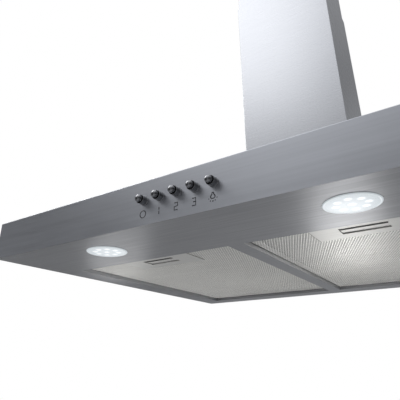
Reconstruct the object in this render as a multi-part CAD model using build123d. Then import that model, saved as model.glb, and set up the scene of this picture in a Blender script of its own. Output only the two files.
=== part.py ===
from build123d import *
from math import acos, cos, degrees, radians, sin, sqrt
import os

# Wall-mounted chimney range hood, 60 cm class, in millimetres.
# +Z is up, the wall is the plane y = 0 and the front faces -Y.
# The origin is on the wall plane, on the centre line, level with the underside.

# Canopy
hood_width = 600.0
hood_depth = 550.0
canopy_height = 49.0
sheet = 1.0
corner_radius = 0.8
side_rim = 37.0
rear_rim = 37.0
front_strip = 117.0
centre_bar = 21.0
lip_height = 5.6
plate_flange = 12.0
wall_hole_spacing = 480.0
wall_hole_radius = 4.5
wall_hole_height = 34.0

# Chimney covers
chimney_width = 199.0
chimney_depth = 182.0
lower_cover_height = 600.0
cover_gap = 1.0
cover_back_flange = 13.0
cover_foot = 9.0
upper_cover_length = 480.0
upper_cover_showing = 200.0
vent_width = 60.0
vent_height = 3.5
vent_pitch = 11.0
vent_count = 6
vent_top_margin = 45.0

# Upper wall bracket
bracket_sheet = 1.5
bracket_height = 30.0
bracket_top_margin = 6.0
bracket_step = 9.0
bracket_arm = 30.0
bracket_hole_spacing = 120.0
bracket_hole_radius = 2.75

# Push buttons and switch bank
button_names = ("off", "speed_1", "speed_2", "speed_3", "light")
button_pitch = 20.8
button_height = 26.1
button_reach = 12.0
button_radius = 3.6
stop_size = 9.2
stop_thickness = 1.5
stem_size = 4.0
stem_length = 12.0
collar_radius = 4.8
collar_reach = 7.5
bank_width = 116.0
bank_height = 24.0
bank_depth = 30.0
bank_wall = 3.0
bank_ear = 12.0
bank_ear_height = 16.0
bank_ear_thickness = 3.0

# Lamps
lamp_spacing = 294.0
lamp_inset = 54.5
diffuser_radius = 25.0
diffuser_thickness = 1.0
cup_radius = 23.2
cup_height = 16.0
cup_wall = 1.2
lamp_hole_clearance = 0.3
board_radius = 21.0
board_thickness = 1.2
led_size = 4.0
led_thickness = 0.8
led_ring_radius = 12.5
led_ring_count = 8
clip_width = 8.0
clip_thickness = 0.6
clip_reach = 10.0

# Grease filters
filter_gap = 1.0
pivot_setback = 1.2
filter_recess = 5.0
filter_thickness = 9.0
mesh_sheet = 0.6
frame_sheet = 0.8
frame_rim = 10.0
mesh_columns = 6
mesh_rows = 9
mesh_web = 5.0
core_pleats = 20
core_sheet = 0.9
tab_width = 24.0
tab_reach = 8.0
tab_spread = 160.0
tab_sheet = 1.0
bead_radius = 0.8
latch_width = 110.0
latch_cover_depth = 60.0
latch_cover_sheet = 1.0
latch_cover_corner = 3.0
latch_window_width = 50.0
latch_window_front = 21.0
latch_window_depth = 22.0
finger_slot = 7.0
latch_slide_width = 66.0
latch_slide_sheet = 1.5
latch_slide_tail = 5.0
latch_tongue_width = 44.0
latch_tongue_reach = 5.0
latch_travel = 6.0
latch_pocket_width = 72.0
latch_spring_sheet = 0.4
latch_spring_width = 3.0
latch_spring_rise = 7.0

# Blower
housing_width = 160.0
housing_depth = 148.0
housing_height = 160.0
housing_sheet = 0.8
housing_flange = 8.0
wheel_radius = 49.0
wheel_width = 60.0
wheel_height = 71.0
wheel_disc = 1.5
wheel_ring_width = 5.0
wheel_ring = 2.0
wheel_hub_radius = 9.0
wheel_hub_length = 16.0
blade_count = 28
blade_depth = 9.0
blade_thickness = 1.0
blade_lead = 9.0
blade_bow = 1.8
shaft_radius = 4.0
fit_clearance = 0.05
scroll_step = 5.0
scroll_gap = 6.0
scroll_wall = 2.0
scroll_side_gap = 4.0
scroll_offset = 5.0
inlet_radius = 42.0
inlet_lip = 3.0
tongue_radius = 4.0
ear_radius = 5.0
ear_thickness = 4.0
neck_ear_rise = 20.0
ear_offset = 3.6
outlet_flange = 7.0
boss_radius = 4.5
boss_circle = 47.5
boss_turns = (90, 210, 330)
boss_height = 2.5
mount_thickness = 3.0
mount_radius = 5.0
motor_arm_width = 11.0
motor_arm_sheet = 1.5
spider_radius = 24.0
motor_radius = 30.0
motor_cap_radius = 22.0
motor_cap = 4.0
motor_length = 34.0

# Outlet collar and non-return flaps
outlet_radius = 74.5
outlet_wall = 2.0
outlet_height = 46.0
outlet_base = 2.0
outlet_base_radius = 83.0
ledge_width = 3.5
ledge_thickness = 1.6
pin_radius = 1.5
pin_rise = 13.0
flap_thickness = 1.2
flap_side_gap = 1.2
flap_seat_gap = 0.3
knuckle_radius = 3.0
knuckle_width = 14.0
knuckle_gap = 0.8
knuckle_places = (-40.0, 14.0)

# Electrical pieces
capacitor_radius = 13.0
capacitor_length = 50.0
capacitor_clip_sheet = 1.0
capacitor_clip_width = 12.0
capacitor_clip_rise = 27.0
terminal_box_size = (90.0, 60.0, 24.0)
terminal_box_chimney_gap = 15.5
terminal_box_rear_inset = 42.0
terminal_box_wall = 1.6
driver_size = (90.0, 38.0, 22.0)
driver_chimney_gap = 15.5
driver_rear_inset = 41.0
driver_ear = 8.0
driver_ear_thickness = 2.0
gland_place = (-66.0, -60.0)
gland_nut_radius = 8.0
gland_nut_height = 5.0
gland_dome_radius = 6.5
gland_dome_height = 11.0
gland_thread_radius = 6.0
gland_thread_length = 6.0
gland_bore_radius = 3.5
gland_room = 2.0

# Screws
screw_radius = 1.6
screw_head_radius = 3.4
screw_head_height = 2.2
screw_clearance = 0.1
screw_tip = 1.0

# Clearances and fineness: what repeats out of sight has few sides
loose_gap = 0.3
over = 1.0
screw_sides = 6
hexagon_sides = 6
round_sides = 12
cup_sides = 24

# Worked out from the sizes above
half_width = hood_width / 2
top_z = canopy_height
inner_top = canopy_height - sheet
front_y = -hood_depth
opening_inner = centre_bar / 2
opening_outer = half_width - side_rim
opening_front = -hood_depth + front_strip
opening_rear = -rear_rim
opening_width = opening_outer - opening_inner
filter_x = (opening_inner + opening_outer) / 2
filter_width = opening_width - 2 * filter_gap
hinge_y = opening_rear - pivot_setback
filter_front = opening_front + filter_gap
frame_bottom = filter_recess + mesh_sheet
filter_top = filter_recess + filter_thickness
slide_bottom = lip_height + loose_gap
chimney_y = -chimney_depth / 2
lower_top = top_z + lower_cover_height
upper_top = lower_top + upper_cover_showing
upper_bottom = upper_top - upper_cover_length
upper_half = chimney_width / 2 - sheet - cover_gap
upper_front = -chimney_depth + sheet + cover_gap
upper_back = -sheet - cover_gap / 2
housing_top = top_z + housing_height
wheel_y = chimney_y - scroll_offset
wheel_z = top_z + wheel_height
scroll_half = wheel_width / 2 + scroll_side_gap
scroll_first = wheel_radius + scroll_gap
outlet_depth = scroll_step / 2 + scroll_first + 2 * scroll_step
outlet_bore = outlet_radius - outlet_wall
pin_z = housing_top + outlet_base + pin_rise
button_count = len(button_names)
button_xs = [(n - (button_count - 1) / 2) * button_pitch for n in range(button_count)]
lamp_y = -hood_depth + lamp_inset
terminal_box_x = -chimney_width / 2 - terminal_box_chimney_gap - terminal_box_size[0] / 2
terminal_box_place = (terminal_box_x, -terminal_box_rear_inset)
driver_x = chimney_width / 2 + driver_chimney_gap + driver_size[0] / 2
driver_place = (driver_x, -driver_rear_inset)


def block(x, y, z):
    """A box between the given limits along each axis."""
    size = (x[1] - x[0], y[1] - y[0], z[1] - z[0])
    middle = ((x[0] + x[1]) / 2, (y[0] + y[1]) / 2, (z[0] + z[1]) / 2)
    return Pos(*middle) * Box(*size)


def rod(radius, start, axis, length):
    """A round bar from a start point along an axis."""
    seat = Plane(origin=start, z_dir=axis)
    return seat * Cylinder(radius, length, align=(Align.CENTER, Align.CENTER, Align.MIN))


def tube(outer, inner, start, axis, length):
    """A round tube from a start point along an axis."""
    return rod(outer, start, axis, length) - rod(inner, start, axis, length)


def prism(radius, sides, start, axis, length):
    """A bar with the given number of sides from a start point along an axis."""
    return extrude(Plane(origin=start, z_dir=axis) * RegularPolygon(radius, sides), length)


def screw(seat, axis, length):
    """A hexagon-head screw: the head's face lies on seat and the shank runs along axis."""
    head = prism(screw_head_radius, screw_sides, seat, axis, -screw_head_height)
    return head + prism(screw_radius, screw_sides, seat, axis, length)


def screw_hole(seat, axis, length):
    """The hole that a screw passes through, centred on its seat."""
    start = tuple(s - a * length for s, a in zip(seat, axis))
    return prism(screw_radius + screw_clearance, screw_sides, start, axis, 2 * length)


def centred(middle, width):
    """Limits of a stretch of the given width around a middle."""
    return (middle - width / 2, middle + width / 2)


# Canopy


def housing_screw_seats():
    """Seats of the four screws that hold the blower housing's flange."""
    x = housing_width / 2 + housing_flange / 2
    y = housing_depth / 3
    z = top_z + housing_sheet
    return [(sx * x, chimney_y + sy * y, z) for sx in (-1, 1) for sy in (-1, 1)]


def cover_screw_seats():
    """Seats, under the canopy's top, of the screws into the lower cover's feet."""
    x = chimney_width / 2 - sheet - cover_foot / 2
    y = chimney_depth / 4
    return [(sx * x, chimney_y + sy * y, inner_top) for sx in (-1, 1) for sy in (-1, 1)]


def canopy_shell():
    """Front, sides and top folded from one sheet, open below and at the wall."""
    outer = block((-half_width, half_width), (front_y, 0), (0, top_z))
    front_corners = outer.edges().filter_by(Axis.Z).group_by(Axis.Y)[0]
    top_edges = outer.edges().group_by(Axis.Z)[-1].sort_by(Axis.Y)[:-1]
    outer = fillet(front_corners + top_edges, corner_radius)
    inside = block(
        (sheet - half_width, half_width - sheet),
        (front_y + sheet, sheet),
        (-sheet, inner_top),
    )
    shell = outer - inside
    shell -= block(
        centred(0, housing_width - 2 * housing_sheet),
        centred(chimney_y, housing_depth - 2 * housing_sheet),
        (inner_top - sheet, top_z + sheet),
    )
    for x in button_xs:
        at = (x, front_y - sheet, button_height)
        shell -= rod(button_radius + loose_gap, at, (0, 1, 0), 3 * sheet)
    for seat in housing_screw_seats() + cover_screw_seats():
        shell -= screw_hole(seat, (0, 0, 1), 3 * sheet)
    return shell


def underside_plate():
    """Tray-shaped sheet with a folded lip round each filter opening and two lamp holes."""
    wide = half_width - sheet
    tray = block((-wide, wide), (front_y + sheet, -sheet), (0, plate_flange))
    tray -= block(
        (sheet - wide, wide - sheet),
        (front_y + 2 * sheet, -2 * sheet),
        (sheet, plate_flange + sheet),
    )
    for side in (-1, 1):
        x = side * filter_x
        tray += block(
            centred(x, opening_width + 2 * sheet),
            (opening_front - sheet, opening_rear + sheet),
            (0, lip_height),
        )
    for side in (-1, 1):
        tray -= block(
            centred(side * filter_x, opening_width),
            (opening_front, opening_rear),
            (-sheet, lip_height + sheet),
        )
        hole = cup_radius + lamp_hole_clearance
        tray -= rod(hole, (side * lamp_spacing / 2, lamp_y, -sheet), (0, 0, 1), 3 * sheet)
    return tray


def rear_panel():
    """Wall-side sheet between the canopy's sides, with the two wall-fixing holes."""
    wide = half_width - sheet
    panel = block((-wide, wide), (-sheet, 0), (0, inner_top))
    for side in (-1, 1):
        at = (side * wall_hole_spacing / 2, -2 * sheet, wall_hole_height)
        panel -= rod(wall_hole_radius, at, (0, 1, 0), 4 * sheet)
    return panel


# Chimney covers


def channel_cover(half, front, back, bottom, top, flange):
    """A U-shaped cover: front and two sides, with flanges folded in at the wall."""
    outer = block((-half, half), (front, back), (bottom, top))
    front_corners = outer.edges().filter_by(Axis.Z).group_by(Axis.Y)[0]
    outer = fillet(front_corners, corner_radius)
    inside = (sheet - half, half - sheet)
    outer -= block(inside, (front + sheet, back - sheet), (bottom - over, top + over))
    slot = (flange - half, half - flange)
    return outer - block(slot, (back - 2 * sheet, back + over), (bottom - over, top + over))


def lower_chimney_cover():
    """Outer cover, standing on the canopy on three inward feet."""
    half = chimney_width / 2
    cover = channel_cover(half, -chimney_depth, 0, top_z, lower_top, cover_back_flange)
    feet = block((-half, half), (-chimney_depth, -2 * cover_foot), (top_z, top_z + sheet))
    feet -= block(
        (cover_foot + sheet - half, half - cover_foot - sheet),
        (cover_foot + sheet - chimney_depth, 0),
        (top_z - over, top_z + sheet + over),
    )
    inside = block((sheet - half, half - sheet), (sheet - chimney_depth, 0), (top_z, top_z + sheet))
    cover += feet & inside
    for seat in cover_screw_seats():
        cover -= screw_hole(seat, (0, 0, 1), 4 * sheet)
    return cover


def upper_chimney_cover():
    """Inner cover that slides in the lower one, with air slots near its top."""
    cover = channel_cover(
        upper_half, upper_front, upper_back, upper_bottom, upper_top, cover_back_flange
    )
    for n in range(vent_count):
        z = upper_top - vent_top_margin - n * vent_pitch
        cover -= block(
            (-chimney_width, chimney_width),
            centred(chimney_y, vent_width),
            (z - vent_height, z),
        )
    for side in (-1, 1):
        seat = bracket_screw_seat(side)
        cover -= screw_hole(seat, (-side, 0, 0), 3 * sheet)
    return cover


def bracket_screw_seat(side):
    """Seat, on the upper cover's side, of the screw into the wall bracket."""
    z = upper_top - bracket_top_margin - bracket_height / 2
    return (side * upper_half, upper_back - bracket_step - bracket_arm / 2, z)


def upper_wall_bracket():
    """Strip bent round the cover's flanges: wall plate, two steps and two side arms."""
    z = (upper_top - bracket_top_margin - bracket_height, upper_top - bracket_top_margin)
    plate_half = upper_half - cover_back_flange - cover_gap
    arm_out = upper_half - sheet
    step_y = upper_back - bracket_step
    t = bracket_sheet
    bracket = block((-plate_half, plate_half), (-t, 0), z)
    for side in (-1, 1):
        step = sorted((side * plate_half, side * (plate_half - t)))
        bracket += block(step, (step_y, 0), z)
        foot = sorted((side * (plate_half - t), side * arm_out))
        bracket += block(foot, (step_y, step_y + t), z)
        arm = sorted((side * arm_out, side * (arm_out - t)))
        bracket += block(arm, (step_y - bracket_arm, step_y + t), z)
        bracket -= screw_hole(bracket_screw_seat(side), (-side, 0, 0), 4 * sheet)
        at = (side * bracket_hole_spacing / 2, -2 * t, (z[0] + z[1]) / 2)
        bracket -= rod(bracket_hole_radius, at, (0, 1, 0), 3 * t)
    return bracket


# Buttons and switch bank


def push_button(x):
    """A round pin, a square stop behind the sheet and a stem."""
    face = front_y - button_reach
    stop = front_y + sheet + loose_gap
    pin = rod(button_radius, (x, face, button_height), (0, 1, 0), stop - face)
    stem_start = stop + stop_thickness
    for size, y in (
        (stop_size, (stop, stem_start)),
        (stem_size, (stem_start, stem_start + stem_length)),
    ):
        pin += block(centred(x, size), y, centred(button_height, size))
    return pin


def button_collars():
    """Fixed collars on the front in which the pins slide."""
    collars = []
    for x in button_xs:
        start = (x, front_y - collar_reach, button_height)
        bore = button_radius + fit_clearance
        collars.append(tube(collar_radius, bore, start, (0, 1, 0), collar_reach))
    return Compound(collars)


def bank_screw_seats():
    """Seats of the two screws that hold the switch bank's ears."""
    x = bank_width / 2 + bank_ear / 2
    y = front_y + sheet + bank_ear_thickness
    return [(side * x, y, button_height) for side in (-1, 1)]


def switch_bank():
    """Moulded body behind the front sheet, hollow for the stems of the five pins."""
    start = front_y + sheet
    bank = block(
        centred(0, bank_width),
        (start, start + bank_depth),
        centred(button_height, bank_height),
    )
    bank += block(
        centred(0, bank_width + 2 * bank_ear),
        (start, start + bank_ear_thickness),
        centred(button_height, bank_ear_height),
    )
    bank -= block(
        centred(0, bank_width - 2 * bank_wall),
        (start - over, start + bank_depth - bank_wall),
        centred(button_height, bank_height - 2 * bank_wall),
    )
    for seat in bank_screw_seats():
        bank -= screw_hole(seat, (0, -1, 0), bank_ear_thickness)
    return bank


def bank_screws():
    """Screws into studs on the back of the front sheet."""
    length = bank_ear_thickness
    return Compound([screw(seat, (0, -1, 0), length) for seat in bank_screw_seats()])


# Lamps


def lamp_diffuser(x):
    """Round lens whose rim covers the edge of the hole in the underside."""
    at = (x, lamp_y, -diffuser_thickness)
    return rod(diffuser_radius, at, (0, 0, 1), diffuser_thickness)


def lamp_cup(x):
    """Cup that holds the board, from the lens up to a closed back."""
    at = (x, lamp_y, 0)
    cup = prism(cup_radius, cup_sides, at, (0, 0, 1), cup_height)
    return cup - prism(cup_radius - cup_wall, cup_sides, at, (0, 0, 1), cup_height - cup_wall)


def lamp_board(x):
    """Round board with one light-emitting diode in the middle and eight round it."""
    base = cup_height - cup_wall - board_thickness
    board = prism(board_radius, cup_sides, (x, lamp_y, base), (0, 0, 1), board_thickness)
    turns = [radians(360 * n / led_ring_count) for n in range(led_ring_count)]
    ring = [(led_ring_radius * cos(a), led_ring_radius * sin(a)) for a in turns]
    for dx, dy in [(0, 0)] + ring:
        board += block(
            centred(x + dx, led_size),
            centred(lamp_y + dy, led_size),
            (base - led_thickness, base),
        )
    return board


def lamp_clips(x):
    """Two leaf springs that slope from the cup down onto the underside plate."""
    clips = []
    top = cup_height - cup_wall
    for side in (-1, 1):
        root = x + side * cup_radius
        tip = root + side * clip_reach
        line = [
            (root, top),
            (root + side * clip_thickness, top),
            (tip, sheet + clip_thickness),
            (tip, sheet),
            (tip - side * clip_thickness, sheet),
            (root, top - 3 * clip_thickness),
        ]
        face = make_face(Polyline(line, close=True))
        plane = Plane(origin=(0, lamp_y, 0), x_dir=(1, 0, 0), z_dir=(0, -1, 0))
        clip = extrude(plane * face, clip_width / 2, both=True)
        clips.append(clip)
    return Compound(clips)


# Grease filters


def diamond_holes(width, depth):
    """Centres of the staggered diamond openings over a sheet of the given size."""
    step_x = width / mesh_columns
    step_y = depth / mesh_rows
    places = []
    for row in range(mesh_rows):
        shift = step_x / 2 if row % 2 else 0
        for column in range(mesh_columns - row % 2):
            x = (column + 0.5) * step_x + shift - width / 2
            places.append((x, (row + 0.5) * step_y - depth / 2))
    return places, step_x - mesh_web, 2 * (step_y - mesh_web / 2)


def filter_mesh(x):
    """Face sheet of the filter with staggered diamond openings, cut out for the latch."""
    edge = frame_sheet
    front = filter_front + edge
    rear = hinge_y - 2 * bead_radius
    width = filter_width - 2 * edge
    depth = rear - front
    middle = (x, (front + rear) / 2)
    net = Rectangle(width, depth)
    places, hole_x, hole_y = diamond_holes(width - frame_rim, depth - frame_rim)
    cut_half = latch_width / 2 + hole_x / 2 + mesh_web
    cut_rear = filter_front + latch_cover_depth + hole_y / 2 + mesh_web
    corners = [(hole_x / 2, 0), (0, hole_y / 2), (-hole_x / 2, 0), (0, -hole_y / 2)]
    hole = make_face(Polyline(corners, close=True))
    keep = [p for p in places if abs(p[0]) > cut_half or middle[1] + p[1] > cut_rear]
    net -= [Pos(*p) * hole for p in keep]
    sheet_solid = Pos(middle[0], middle[1], filter_recess) * extrude(net, mesh_sheet)
    return sheet_solid - block(
        centred(x, latch_width + 2 * loose_gap),
        (filter_front - over, filter_front + latch_cover_depth + loose_gap),
        (filter_recess - over, frame_bottom + over),
    )


def latch_pocket(x, height):
    """Space above the latch cover in which the slide and its spring lie."""
    return block(
        centred(x, latch_pocket_width),
        (filter_front - over, filter_front + latch_cover_depth - 2 * frame_sheet),
        (frame_bottom - over, height),
    )


def filter_frame(x):
    """Channel frame round the filter, with two rear tabs that hang on the opening's lip."""
    wide = filter_width / 2
    limits = ((x - wide, x + wide), (filter_front, hinge_y))
    frame = block(*limits, (frame_bottom, filter_top))
    frame -= block(
        centred(x, filter_width - 2 * frame_rim),
        (filter_front + frame_rim, hinge_y - frame_rim),
        (frame_bottom - over, filter_top + over),
    )
    frame -= block(
        centred(x, filter_width - 2 * frame_sheet),
        (filter_front + frame_sheet, hinge_y - frame_sheet),
        (frame_bottom + frame_sheet, filter_top - frame_sheet),
    )
    frame -= latch_pocket(x, slide_bottom + latch_slide_sheet + 2 * loose_gap)
    for side in (-1, 1):
        middle = x + side * tab_spread / 2
        frame += block(
            centred(middle, tab_width),
            (hinge_y - frame_sheet, hinge_y + tab_reach),
            (slide_bottom, slide_bottom + tab_sheet),
        )
        start = (middle - tab_width / 2, hinge_y, slide_bottom)
        frame += rod(bead_radius, start, (1, 0, 0), tab_width)
    return frame


def filter_core(x):
    """Pleated inner mesh layer inside the frame, with its pleats along X."""
    side_gap = frame_sheet + loose_gap
    y = (filter_front + side_gap, hinge_y - side_gap)
    z = (frame_bottom + side_gap, filter_top - side_gap - core_sheet)
    steps = 2 * core_pleats
    lower = []
    for n in range(steps + 1):
        lower.append((y[0] + (y[1] - y[0]) * n / steps, z[n % 2]))
    upper = [(u, v + core_sheet) for u, v in reversed(lower)]
    face = make_face(Polyline(lower + upper, close=True))
    plane = Plane(origin=(x, 0, 0), x_dir=(0, 1, 0), z_dir=(1, 0, 0))
    core = extrude(plane * face, filter_width / 2 - side_gap, both=True)
    return core - latch_pocket(x, filter_top)


def latch_window(x):
    """The finger window in the latch cover, seen from below."""
    front = filter_front + latch_window_front
    return (centred(x, latch_window_width), (front, front + latch_window_depth))


def latch_cover(x):
    """Smooth plate over the latch, with a window for the finger."""
    bottom = frame_bottom - latch_cover_sheet
    plate = block(
        centred(x, latch_width),
        (filter_front, filter_front + latch_cover_depth),
        (bottom, frame_bottom),
    )
    corners = plate.edges().filter_by(Axis.Z).group_by(Axis.Y)[-1]
    plate = fillet(corners, latch_cover_corner)
    return plate - block(*latch_window(x), (bottom - over, frame_bottom + over))


def latch_slide(x):
    """Slide with a tongue over the opening's front lip and a turned-down finger edge."""
    span_x, span_y = latch_window(x)
    z = (slide_bottom, slide_bottom + latch_slide_sheet)
    front = filter_front + frame_rim / 2
    rear = span_y[1] + latch_slide_tail
    slide = block(centred(x, latch_slide_width), (front, rear), z)
    tongue = (filter_front - filter_gap - latch_tongue_reach, front)
    slide += block(centred(x, latch_tongue_width), tongue, z)
    slot_rear = span_y[0] + finger_slot
    slide -= block(span_x, (span_y[0] - latch_travel, slot_rear), (z[0] - over, z[1] + over))
    edge = (slot_rear, slot_rear + latch_slide_sheet)
    return slide + block(
        centred(x, latch_window_width - 2 * cover_gap),
        edge,
        (frame_bottom - latch_cover_sheet + loose_gap, z[1]),
    )


def latch_spring(x):
    """Bowed leaf spring behind the slide, resting on the pocket's rear wall."""
    back = filter_front + latch_cover_depth - 2 * frame_sheet - loose_gap
    slide_rear = latch_window(x)[1][1] + latch_slide_tail
    front = slide_rear + loose_gap
    half = latch_slide_width / 2 - latch_spring_rise
    t = latch_spring_sheet
    outer = ThreePointArc((-half, back - t), (0, front), (half, back - t))
    inner = ThreePointArc((half, back), (0, front + t), (-half, back))
    ends = [Line(outer @ 1, inner @ 0), Line(inner @ 1, outer @ 0)]
    face = make_face([outer, ends[0], inner, ends[1]])
    return Pos(x, 0, slide_bottom) * extrude(face, latch_spring_width)


# Blower


def blower_housing():
    """Sheet-metal box open to the canopy, with a foot flange and the outlet in its top."""
    half_x, half_y = housing_width / 2, housing_depth / 2
    y = (chimney_y - half_y, chimney_y + half_y)
    t = housing_sheet
    box = block((-half_x, half_x), y, (top_z, housing_top))
    f = housing_flange
    box += block((-half_x - f, half_x + f), y, (top_z, top_z + t))
    box -= block((t - half_x, half_x - t), (y[0] + t, y[1] - t), (top_z - over, housing_top - t))
    box -= block(
        centred(0, 2 * scroll_half),
        (wheel_y, wheel_y + outlet_depth),
        (housing_top - 2 * t, housing_top + over),
    )
    for seat in housing_screw_seats():
        box -= screw_hole(seat, (0, 0, -1), 2 * sheet)
    for seat in neck_screw_seats() + collar_screw_seats():
        at = (seat[0], seat[1], housing_top)
        box -= screw_hole(at, (0, 0, -1), 2 * sheet)
    at = (gland_place[0], chimney_y + gland_place[1], housing_top - 2 * t)
    return box - rod(gland_thread_radius + fit_clearance, at, (0, 0, 1), 4 * t)


def housing_screws():
    """Screws through the housing's flange into the canopy's top."""
    return Compound([screw(s, (0, 0, -1), 3 * sheet) for s in housing_screw_seats()])


def cover_screws():
    """Screws from inside the canopy into the lower cover's feet."""
    return Compound([screw(s, (0, 0, 1), 3 * sheet) for s in cover_screw_seats()])


def scroll_face():
    """Air space of the scroll seen along X: three tangent arcs that widen, then a neck."""
    a = scroll_step / 2
    radii = [scroll_first + n * scroll_step for n in range(3)]
    start = acos(a / radii[0])
    corner = (0, radii[0] * sin(start) - a)
    top = housing_top - housing_sheet - wheel_z + 2 * scroll_wall
    arcs = [
        CenterArc((-a, -a), radii[0], degrees(start), 180 - degrees(start)),
        CenterArc((a, -a), radii[1], 180, 90),
        CenterArc((a, a), radii[2], 270, 90),
    ]
    wide = a + radii[2]
    lines = [
        Line((wide, a), (wide, top)),
        Line((wide, top), (0, top)),
        Line((0, top), corner),
    ]
    face = make_face(arcs + lines)
    tongue = face.vertices().sort_by_distance((corner[0], corner[1], 0))[0]
    return fillet(tongue, tongue_radius)


def scroll_ears():
    """Centres, seen along X, of the ears that hold the two halves together."""
    a = scroll_step / 2
    reach = scroll_wall + ear_offset
    radii = [scroll_first + n * scroll_step + reach for n in range(3)]
    arcs = [(-a, -a, radii[0], 135), (a, -a, radii[1], 225), (a, a, radii[2], 315)]
    ears = [(u + r * cos(radians(t)), v + r * sin(radians(t))) for u, v, r, t in arcs]
    return ears + [(-reach, scroll_first + neck_ear_rise)]


def neck_screw_seats():
    """Seats of the screws that hang the scroll from the housing's top."""
    x = scroll_half + outlet_flange / 2
    ys = (wheel_y + outlet_depth / 4, wheel_y + 3 * outlet_depth / 4)
    return [(side * x, y, housing_top) for side in (-1, 1) for y in ys]


def scroll_half_shell(side):
    """One moulded half: spiral wall, side wall with the inlet, ears and neck flange."""
    plane = Plane(origin=(0, wheel_y, wheel_z), x_dir=(0, 1, 0), z_dir=(1, 0, 0))
    air = scroll_face()
    outer = offset(air, scroll_wall, kind=Kind.ARC)
    depth = scroll_half + scroll_wall
    half = extrude(plane * outer, side * depth)
    for u, v in scroll_ears():
        at = (0, wheel_y + u, wheel_z + v)
        half += prism(ear_radius, round_sides, at, (side, 0, 0), ear_thickness)
    neck_top = housing_top - housing_sheet
    flange_x = sorted((0, side * (scroll_half + outlet_flange)))
    flange_y = (wheel_y - scroll_wall, wheel_y + outlet_depth + scroll_wall)
    half += block(flange_x, flange_y, (neck_top - scroll_wall, neck_top))
    if side < 0:
        for u, v in boss_places():
            at = (-depth, wheel_y + u, wheel_z + v)
            half += prism(boss_radius, round_sides, at, (-1, 0, 0), boss_height)
    ring = (side * depth, wheel_y, wheel_z)
    half += rod(inlet_radius + scroll_wall, ring, (side, 0, 0), inlet_lip - boss_height / 2)
    half -= extrude(plane * air, side * scroll_half)
    centre = (0, wheel_y, wheel_z)
    half -= rod(inlet_radius, centre, (side, 0, 0), depth + inlet_lip)
    half -= block((-hood_width, hood_width), (-hood_depth, 0), (neck_top, 2 * housing_top))
    for u, v in scroll_ears():
        half -= screw_hole((0, wheel_y + u, wheel_z + v), (1, 0, 0), 2 * ear_thickness)
    for seat in neck_screw_seats():
        half -= screw_hole(seat, (0, 0, -1), 3 * scroll_wall)
    if side < 0:
        for u, v in boss_places():
            at = (-depth - boss_height, wheel_y + u, wheel_z + v)
            half -= screw_hole(at, (1, 0, 0), boss_height + scroll_wall / 2)
    return half


def scroll_screws():
    """Screws through the ears of both halves."""
    seats = [(-ear_thickness, wheel_y + u, wheel_z + v) for u, v in scroll_ears()]
    return Compound([screw(s, (1, 0, 0), 2 * ear_thickness) for s in seats])


def neck_screws():
    """Screws through the housing's top into the scroll's neck flange."""
    length = housing_sheet + scroll_wall
    return Compound([screw(s, (0, 0, -1), length) for s in neck_screw_seats()])


def boss_places():
    """Places, seen along X, of the three motor bosses round the left inlet."""
    turns = [radians(turn) for turn in boss_turns]
    return [(boss_circle * cos(t), boss_circle * sin(t)) for t in turns]


def arm_face_x():
    """Outer face of the motor bracket, where the motor is fixed."""
    depth = scroll_half + scroll_wall + boss_height
    return -(depth + mount_thickness + motor_arm_sheet)


def motor_mounts():
    """Rubber rings between the bosses and the bracket's arms."""
    x = -(scroll_half + scroll_wall + boss_height)
    rings = []
    for u, v in boss_places():
        at = (x, wheel_y + u, wheel_z + v)
        ring = prism(mount_radius, round_sides, at, (-1, 0, 0), mount_thickness)
        rings.append(ring - screw_hole(at, (-1, 0, 0), mount_thickness))
    return Compound(rings)


def motor_bracket():
    """Three-armed spider that carries the motor in front of the left inlet."""
    x = arm_face_x()
    centre = (x, wheel_y, wheel_z)
    plane = Plane(origin=centre, x_dir=(0, 1, 0), z_dir=(1, 0, 0))
    spider = rod(spider_radius, centre, (1, 0, 0), motor_arm_sheet)
    reach = boss_circle + mount_radius
    for turn in boss_turns:
        arm = Box(reach, motor_arm_width, motor_arm_sheet)
        spider += plane * Rot(0, 0, turn) * Pos(reach / 2, 0, motor_arm_sheet / 2) * arm
    for u, v in boss_places():
        at = (x, wheel_y + u, wheel_z + v)
        spider -= screw_hole(at, (1, 0, 0), 2 * motor_arm_sheet)
    return spider - prism(2 * shaft_radius, round_sides, centre, (1, 0, 0), motor_arm_sheet)


def motor_screws():
    """Screws through the arms and the rubber rings into the bosses."""
    length = motor_arm_sheet + mount_thickness + boss_height
    screws = []
    for u, v in boss_places():
        seat = (arm_face_x(), wheel_y + u, wheel_z + v)
        screws.append(screw(seat, (1, 0, 0), length))
    return Compound(screws)


def motor():
    """Closed motor with a smaller cap at its free end, bored for the shaft."""
    start = (arm_face_x(), wheel_y, wheel_z)
    body = rod(motor_radius, start, (-1, 0, 0), motor_length - motor_cap)
    body += rod(motor_cap_radius, start, (-1, 0, 0), motor_length)
    bore = shaft_radius + fit_clearance
    return body - rod(bore, start, (-1, 0, 0), motor_length - motor_cap)


def motor_shaft():
    """Shaft from inside the motor to the far end of the wheel's hub."""
    end = arm_face_x() - motor_length + motor_cap + loose_gap
    start = (end, wheel_y, wheel_z)
    return rod(shaft_radius, start, (1, 0, 0), wheel_hub_length / 2 - end)


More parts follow.
